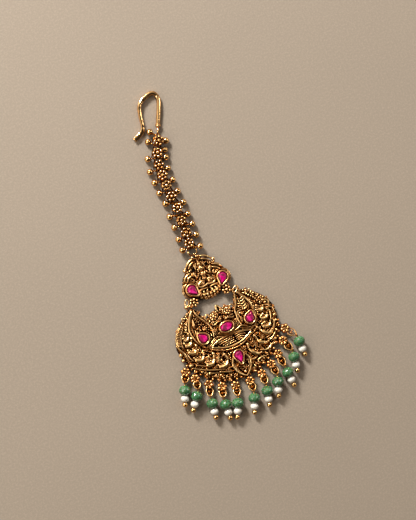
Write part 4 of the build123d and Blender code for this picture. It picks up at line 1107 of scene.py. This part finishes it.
# Horns: raised leaf-shaped ground, a broad wire along the outer side and a thinner one along the inner side.
for side, outer, inner in ((-1, LEFT_OUTER, LEFT_INNER), (1, RIGHT_OUTER, RIGHT_INNER)):
    horn = np.array(inner + [(side * 7.3, -3.1)] + outer[::-1])
    plate(lower, horn, PLATE - 0.1, 1.85, relief=0.06)
    strand(lower, outer, 2.35, [0.26, 0.5, 0.46, 0.3, 0.28, 0.24], 10)
    strand(lower, inner, 2.35, [0.2, 0.3, 0.3, 0.26, 0.2], 10)
    place = (side * HORN_STONE[0], HORN_STONE[1], side * HORN_STONE[2])
    bezel(lower, lambda grow: pear_edge(place, HORN_PEAR, grow), 1.6, BEZEL_TOP, SEAT_Z)
    hollow = horn * 0.93 + np.array((side * 8.1, 3.0)) * 0.07
    ground(lower, hollow, 1.95, 0.62, 0.27, [(*place[:2], 2.7)], curls=0.15)
granulated_flower(lower, -7.1, 2.5, 1.95, 0.5, 0.3, 5)

# Boat: raised ground under the oval stone, with a roped wire round its foot and granules in its left half.
plate(lower, np.array(BOAT_FOOT + BOAT_TOP[::-1]), PLATE - 0.1, 1.85, relief=0.06)
rope = curve([(x * 1.02, y - 0.95 + 0.006 * x * x, 2.05) for x, y in BOAT_FOOT], 16)
strand(lower, [(x, y) for x, y, z in rope[::8]], 2.0, 0.24)
for at in rope[2:-2]:
    lower.ball(at + UP * 0.06, 0.27, 6, height=0.9)
for row in range(4):
    y = -3.8 - 0.7 * row
    line = [(1.15 * row - 5.9, y - 0.25), (-2.5, y - 0.1), (1.0 + 0.5 * (row % 2), y)]
    granules(lower, line, 2.12, 0.32, 0.66)
wide, deep = OVAL_REACH
bezel(lower, lambda grow: oval(0, 0, wide + grow, deep + grow, 48), 1.4, OVAL_TOP, OVAL_SEAT_Z)
for side in (-1, 1):
    granules(lower, [(side * 0.6, 3.3), (side * 2.6, 3.2), (side * 4.4, 3.1)], 1.85, 0.27, 0.62)
for side in (-1, 1):
    granulated_flower(lower, side * 2.7, 5.0, 1.5, 0.95, 0.46, 7, 0.4)

# Hanging leaf: a dark hollow in a polished wire, veined, with the bezel at its head.
bezel(lower, lambda grow: pear_edge(LEAF_STONE, LEAF_PEAR, grow), 1.4, BEZEL_TOP, SEAT_Z)
plate(lower, mirrored_edge([(0, -9.5)] + LEAF_SIDE[:-1] + [(0.1, -18.4)]), PLATE - 0.1, 1.6, relief=0.04)

# Waves, ribs, and the shoulders with their granules and curls.
for points, knob, thick in WAVES:
    wave(lower, points, knob, thick)
for side in (-1, 1):
    for points, gap, radius in RIBS:
        ribs(lower, [(side * x, y) for x, y in points], side * gap, radius)
    granules(lower, [(side * x, y) for x, y in SHOULDER_ROW], 1.65, 0.4, 0.95)
    granules(lower, [(side * x, y) for x, y in SECOND_ROW], 1.95, 0.4, 0.9)
    for x, y in CURLS:
        turn = lower.chance.uniform(0, 6.3)
        path = [polar(side * x, y, 0, 0.42, turn + t)[:2] for t in range(5)]
        strand(lower, path, 1.9, [0.14, 0.24, 0.14], steps=3)
granules(lower, RIGHT_ROW, 2.15, 0.34, 0.74)
granules(lower, LEFT_ROW, 2.1, 0.34, 0.8)

# A feather at the left end of the rim, and wires and knobs all over.
quill = curve(QUILL, 4)
lower.wire(quill, [0.2, 0.3, 0.3, 0.2])
for at, after in zip(quill[:-1, :2], quill[1:, :2]):
    along = unit(after - at)
    inward = np.array((along[1], -along[0]))
    line = [at, at + inward * 1.4 - along * 0.1, at + inward * 2.2 - along * 1.3]
    strand(lower, line, [1.95, 2.05, 1.85], [0.2, 0.27, 0.14], steps=3)
lay_tables(lower, PAIRED_STRANDS, balls=PAIRED_BALLS)
lay_tables(lower, SINGLE_STRANDS, balls=SINGLE_BALLS, flips=(1,))

# The rim: small leaves side by side over the foot, a wire along the edge, and the lugs.
for degrees in range(-54, 55, 6):
    at = on_arc(18.5 + 0.25 * (degrees % 12 == 0), degrees + 1.5)
    if abs(at[0]) < 1.6:
        continue
    out = outward(degrees)
    aside = np.array((-out[1], out[0]))
    swing = aside * lower.chance.uniform(-0.6, 0.6)
    tip, bow, root = at - out * 1.3 + swing, at - out * 0.5 + swing * 0.4, at + out * 0.3
    lower.wire([(*tip, 1.7), (*bow, 1.95), (*root, 1.5)], [0.12, 0.36, 0.14])
    lower.ball((*(at - aside * 0.8), 1.55), lower.chance.uniform(0.3, 0.42), 8)
strand(lower, [on_arc(18.95, degrees) for degrees in range(-62, 63, 4)], 1.0, 0.34, worn=0.8, steps=3)
for side in (-1, 1):
    flat_ring(lower, (side * LOWER_LUG[0], LOWER_LUG[1], LUG_Z), LUG_MID_R, LUG_MID_R, 0.22, count=22)
lower.cast("crescent_plaque", ANTIQUE_GOLD, "antique_gold", ["lower_pendant"])


# ---- Fringe
# Eleven rosettes of granules round the rim, each on a short neck with a small knob on one side and two on
# the other. From each a leaf-shaped loop of wire slopes up to carry a bead drop, most of them filled with a
# thin dark leaf. They are cast on the lower pendant and are part of it.
ROSETTE_ARC = 21.75
ROSETTE_RING = 1.12
ROSETTE_GRANULE = 0.68
LOOP_RISE = 1.15
# Each drop: its angle round the foot's arc, the turn of its leaf loop, the length of the loop.
DROPS = [(-63.4, -31, 3.65), (-52.8, -8, 3.6), (-39.1, -18, 4.1), (-26.5, -20, 3.75), (-13.8, -12, 3.5)]
DROPS += [(0.6, -4, 3.6), (13.7, -3, 3.75), (26.3, 5, 4.1), (37.8, 3, 4.7), (51, 20, 4.5), (62.5, 37, 4.5)]
# The knobs beside a rosette: turn round the arc, distance from its middle.
KNOBS = [(-3.2, 19.75), (3.0, 19.6), (8.6, 19.4)]
# Half of a leaf loop's outline: share of its length, reach to one side.
LOOP_HALF = [(0.3, 0.7), (0.4, 1.05), (0.55, 1.22), (0.74, 1.0), (0.9, 0.6), (0.99, 0.3)]
# Three veins over each leaf, as share of its length, distance to one side and lift, and their radii.
VEINS = [
    ([(0.45, 0.1, 0.1), (0.62, -0.15, 0.12), (0.82, 0.05, 0.05)], [0.12, 0.17, 0.1]),
    ([(0.45, -0.385, 0.05), (0.58, -0.55, 0.1), (0.7, -0.385, 0.05)], [0.1, 0.15, 0.1]),
    ([(0.45, 0.35, 0.05), (0.58, 0.5, 0.1), (0.7, 0.35, 0.05)], [0.1, 0.15, 0.1]),
]
# The last loop, at the right end, has no leaf in it.
OPEN_LOOP = 10
fringe = Wax(75)
for number, (degrees, leaf_turn, reach) in enumerate(DROPS):
    x, y = on_arc(ROSETTE_ARC, degrees)
    fringe.wire([(*on_arc(18.2, degrees), 0.75), (x, y, 0.85)], [0.5, 0.4], 10, worn=0.35)
    for turn, distance in KNOBS:
        knob = (*on_arc(distance, degrees + turn), 1.35)
        fringe.wire([(*on_arc(18.9, degrees + turn * 0.8), 1.0), knob], [0.3, 0.46], worn=0.7)
        fringe.ball(knob, 0.5, worn=0.75)
    fringe.ball((x, y, 1.1), 1.2, 16, worn=0.3, height=0.5)
    for a in fringe.chance.uniform(0, 1) + round_turn(7 if number % 2 else 6):
        size = ROSETTE_GRANULE * fringe.chance.uniform(0.92, 1.08)
        fringe.ball(polar(x, y, 1.55, ROSETTE_RING, a), size, 14, worn=0.78)
    flat_ring(fringe, (x, y, 1.85), 0.42, 0.42, 0.18, count=10, sides=6)
    ahead = np.array((*outward(leaf_turn), 0))
    aside = np.cross(UP, ahead)

    def leaf_point(along, across, lift=0.0):
        """A point over the loop, by the share of its length and the distance to one side."""
        return np.array((x, y, 1.2 + LOOP_RISE * along + lift)) + ahead * along * reach + aside * across

    path = [leaf_point(along, across) for along, across in LOOP_HALF]
    path += [leaf_point(along, -across) for along, across in reversed(LOOP_HALF)]
    fringe.wire(curve(path, 4), 0.23)
    leaf = [leaf_point(along, across * 0.9, -0.12) for along, across in LOOP_HALF[:-1]]
    leaf += [leaf_point(along, -across * 0.9, -0.12) for along, across in reversed(LOOP_HALF[:-1])]
    if number != OPEN_LOOP:
        rings = np.array([leaf, leaf - UP * 0.1])
        fringe.skin(rings, 0.36)
    for vein, radii in VEINS:
        fringe.wire([leaf_point(*point) for point in vein], radii, 6, worn=0.6)
fringe.cast("fringe", ANTIQUE_GOLD, "antique_gold", ["lower_pendant"])


# ---- Stones
# Six foil-backed glass stones, pink to ruby, in the bezels: a flat table and sloping crown facets. The light
# that the foil throws back is painted into the facets' colours: one half of each stone is painted bright and
# the other half a greyish shade, and the crown facets get painted glints at random. Heights over the seat:
# the girdle's edge, the ring between the two rows of facets, and the table.
GIRDLE = 0.75
HALF_CROWN = 1.215
TABLE = 1.5
TABLE_INSET = 0.3
SEAT_GAP = 0.05
SIDES_OF_STONE = 14
# Painted glints: values drawn at random for the crown facets, standing in for light thrown back through them.
PAINTED_FACET_GLINTS = (0.1, 0.3, 0.5, 0.62, 0.75)
# The glass's ruby colour with painted light on it: a greyish painted shade in the middle, and the foil's
# painted reflection, vivid magenta to pale pink, at the top.
GLASS_AND_FOIL_LIGHT_STOPS = [
    (0.0, (0.06, 0.0, 0.012, 1)),
    (0.25, (0.17, 0.0, 0.03, 1)),
    (0.42, (0.08, 0.045, 0.05, 1)),
    (0.58, (0.42, 0.0, 0.10, 1)),
    (0.8, (0.86, 0.0, 0.25, 1)),
    (1.0, (0.95, 0.10, 0.42, 1)),
]
# Each pear stone: its node, its place, its size, and the way that its painted bright half looks, in degrees
# from +X.
PEAR_STONES = [
    ("upper_stone_left", (-6.0, 16.6, -148), UPPER_PEAR, 210),
    ("upper_stone_right", UPPER_STONE, UPPER_PEAR, 202),
    ("horn_stone_left", (-9.0, -0.6, 32), HORN_PEAR, 316),
    ("horn_stone_right", HORN_STONE, HORN_PEAR, 190),
    ("leaf_stone", LEAF_STONE, LEAF_PEAR, 215),
]


# Pink glass over foil, with painted light: each facet's colour is painted brighter or darker, as light thrown
# back from the foil would make it.
PINK_GLASS, shader, add = new_material("pink_glass")
cloud = add("TexNoise", Scale=700.0, Detail=2.0, Vector=add("TexCoord")["Object"])["Fac"]
tint = colour_ramp(add, add("Attribute", attribute_name="facet")["Fac"], GLASS_AND_FOIL_LIGHT_STOPS)
fill(shader, Base_Color=mix_colours(add, cloud, tint, (0.30, 0.0, 0.075, 1)), Roughness=0.22)
fill(shader, Specular_IOR_Level=0.6, Coat_Weight=1.0, Coat_Roughness=0.04)


def cut_stone(node_name, outline, seat, painted_bright_way):
    """Cuts a stone: a straight girdle, two rows of crown facets and a table; outline(count) gives its
    shape. The faces carry painted light: the table's half on the given side is painted bright, the other half
    greyish, and the crown facets get painted glints at random."""
    chance = random.Random(sum(ord(letter) for letter in node_name))
    count = SIDES_OF_STONE
    fine = outline(2 * count)
    middle = fine.mean(axis=0)
    girdle = fine[::2]
    halfway = middle + (fine[1::2] - middle) * (1 - 0.45 * TABLE_INSET)
    table = middle + (girdle - middle) * (1 - TABLE_INSET)
    keel = [middle + (table[0] - middle) * 0.12, middle - (table[0] - middle) * 0.25]
    base = seat + SEAT_GAP
    points = []
    for loop, rise in ((girdle, 0), (girdle, GIRDLE), (halfway, HALF_CROWN), (table, TABLE), (keel, TABLE)):
        points += [(x, y, base + rise) for x, y in loop]
    faces, painted_facet_light = [tuple(range(count))[::-1]], [0.0]
    for i in range(count):
        j = (i + 1) % count
        faces.append((i, j, j + count, i + count))
        painted_facet_light.append(0.2)
        a, b = i + count, j + count
        c, d = i + 2 * count, j + 2 * count
        e, f = i + 3 * count, j + 3 * count
        for face in ((a, b, c), (b, d, c), (c, d, f), (c, f, e)):
            faces.append(face)
            painted_facet_light.append(chance.choice(PAINTED_FACET_GLINTS))
        # A table facet, painted bright on the stone's lit side and a greyish painted shade on the other side.
        faces.append((e, f, 4 * count + (0 if i < count / 2 else 1)))
        way = math.atan2(table[i][1] - middle[1], table[i][0] - middle[0])
        painted_lit = 0.82 if math.cos(way - math.radians(painted_bright_way)) > 0.05 else 0.42
        painted_facet_light.append(painted_lit + chance.uniform(-0.12, 0.12))
    faces += [(3 * count, 4 * count, 4 * count + 1), (3 * count + count // 2, 4 * count + 1, 4 * count)]
    painted_facet_light += [0.45, 0.85]
    facets = ("facet", "FACE", painted_facet_light)
    make_piece(node_name + "_cut", points, faces, PINK_GLASS, [node_name], facets, smooth=False)


for name, place, size, painted_bright_way in PEAR_STONES:
    cut_stone(name, lambda count: pear_edge(place, size, count=count), SEAT_Z, painted_bright_way)
cut_stone("centre_stone", lambda count: oval(0, 0, *OVAL_REACH, count), OVAL_SEAT_Z, 328)


# ---- Bead drops
# Each drop hangs on a head pin: a round green bead with a pearl under it and a small gold ball at the end.
# The pin's wire is turned to an eye through the leaf loop and wrapped. The beads are faceted jade-coloured
# stone.
JADE_STOPS = [(0.36, (0.018, 0.068, 0.027, 1)), (0.52, (0.038, 0.13, 0.05, 1)), (0.66, (0.12, 0.26, 0.11, 1))]
# Each kind of bead: widest radius, half its length, bore radius, half the bore's length, how near the poles
# its rows go, rows, sides, roughness and roundness.
GREEN = (2.12, 1.77, 0.4, 1.65, 0.44 * math.pi, 10, 18, 0.01, 1)
WHITE = (1.45, 1.2, 0.4, 0.95, 0.42 * math.pi, 8, 22, 0.03, 0.95)

# Mottled jade-green stone, a little clear, with paler clouds and streaks.
JADE, shader, add = new_material("jade_bead")
place = add("TexCoord")["Object"]
cloud = add("TexNoise", Scale=700.0, Detail=4.0, Distortion=1.2, Vector=place)["Fac"]
vein = add("TexNoise", Scale=1500.0, Detail=3.0, Distortion=2.0, Vector=place)["Fac"]
tint = mix_colours(add, vein, colour_ramp(add, cloud, JADE_STOPS), (0.055, 0.16, 0.062, 1))
fill(shader, Base_Color=tint, Roughness=0.25, Subsurface_Weight=0.5, Subsurface_Scale=0.9 * MM)
fill(shader, Coat_Weight=0.5, Coat_Roughness=0.16)

# White pearl with a faint warm and grey cast.
PEARL, shader, add = new_material("pearl_coat")
cloud = add("TexNoise", Scale=500.0, Detail=2.0, Vector=add("TexCoord")["Object"])["Fac"]
tint = mix_colours(add, cloud, (0.80, 0.77, 0.70, 1), (0.56, 0.53, 0.46, 1))
fill(shader, Base_Color=tint, Roughness=0.28, Coat_Weight=0.5, Coat_Roughness=0.12)
PIN_GOLD = gold_material(
    "pin_gold", (0.97, 0.60, 0.21), (0.72, 0.32, 0.06), (0.14, 0.05, 0.01),
    depth=-0.6, polish=0.5, bump=0.01,
)


def turned_bead(name, node_name, material, middle, way, kind, smooth):
    """Makes a bead round the pin's line, with a straight bore."""
    wide, half, bore, bore_half, pole, rows, sides, rough, roundness = kind
    profile = []
    for tilt in np.linspace(-pole, pole, rows):
        profile.append((wide * math.cos(tilt) ** roundness, half * math.sin(tilt) / math.sin(pole)))
    profile += [(bore, bore_half), (bore, -bore_half)]
    chance = random.Random(sum(ord(letter) for letter in name))
    side = unit(np.cross(way, UP))
    up = np.cross(side, way)
    points, faces = [], []
    spin = chance.uniform(0, 6.3)
    for row, (radius, along) in enumerate(profile):
        for step in range(sides):
            a = spin + (step + 0.5 * (row % 2)) * 2 * math.pi / sides
            r = radius * (1 + rough * chance.uniform(-1, 1))
            points.append(middle + way * along + side * math.cos(a) * r + up * math.sin(a) * r)
    for row, (a, b, c, d) in enumerate(band(len(profile), sides, closed=True)):
        faces += [(a, b, c), (a, c, d)] if row // sides % 2 else [(a, b, d), (b, c, d)]
    make_piece(name, points, faces, material, [node_name], smooth=smooth)


def box_middle(node_name):
    """The middle of a node's box, in millimetres."""
    low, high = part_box(node_name)
    return (np.array(low) + np.array(high)) / 2 / MM


for number in range(1, len(DROPS) + 1):
    green_node, pearl_node = f"green_bead_{number:02d}", f"pearl_{number:02d}"
    green, pearl = box_middle(green_node), box_middle(pearl_node)
    way = unit(pearl - green)
    turned_bead(f"green_{number:02d}", green_node, JADE, green, way, GREEN, smooth=False)
    turned_bead(f"white_{number:02d}", pearl_node, PEARL, pearl, way, WHITE, smooth=True)
    pin = bpy.data.objects.get(f"head_pin_{number:02d}")
    if pin:
        pin.data.materials.clear()
        pin.data.materials.append(PIN_GOLD)
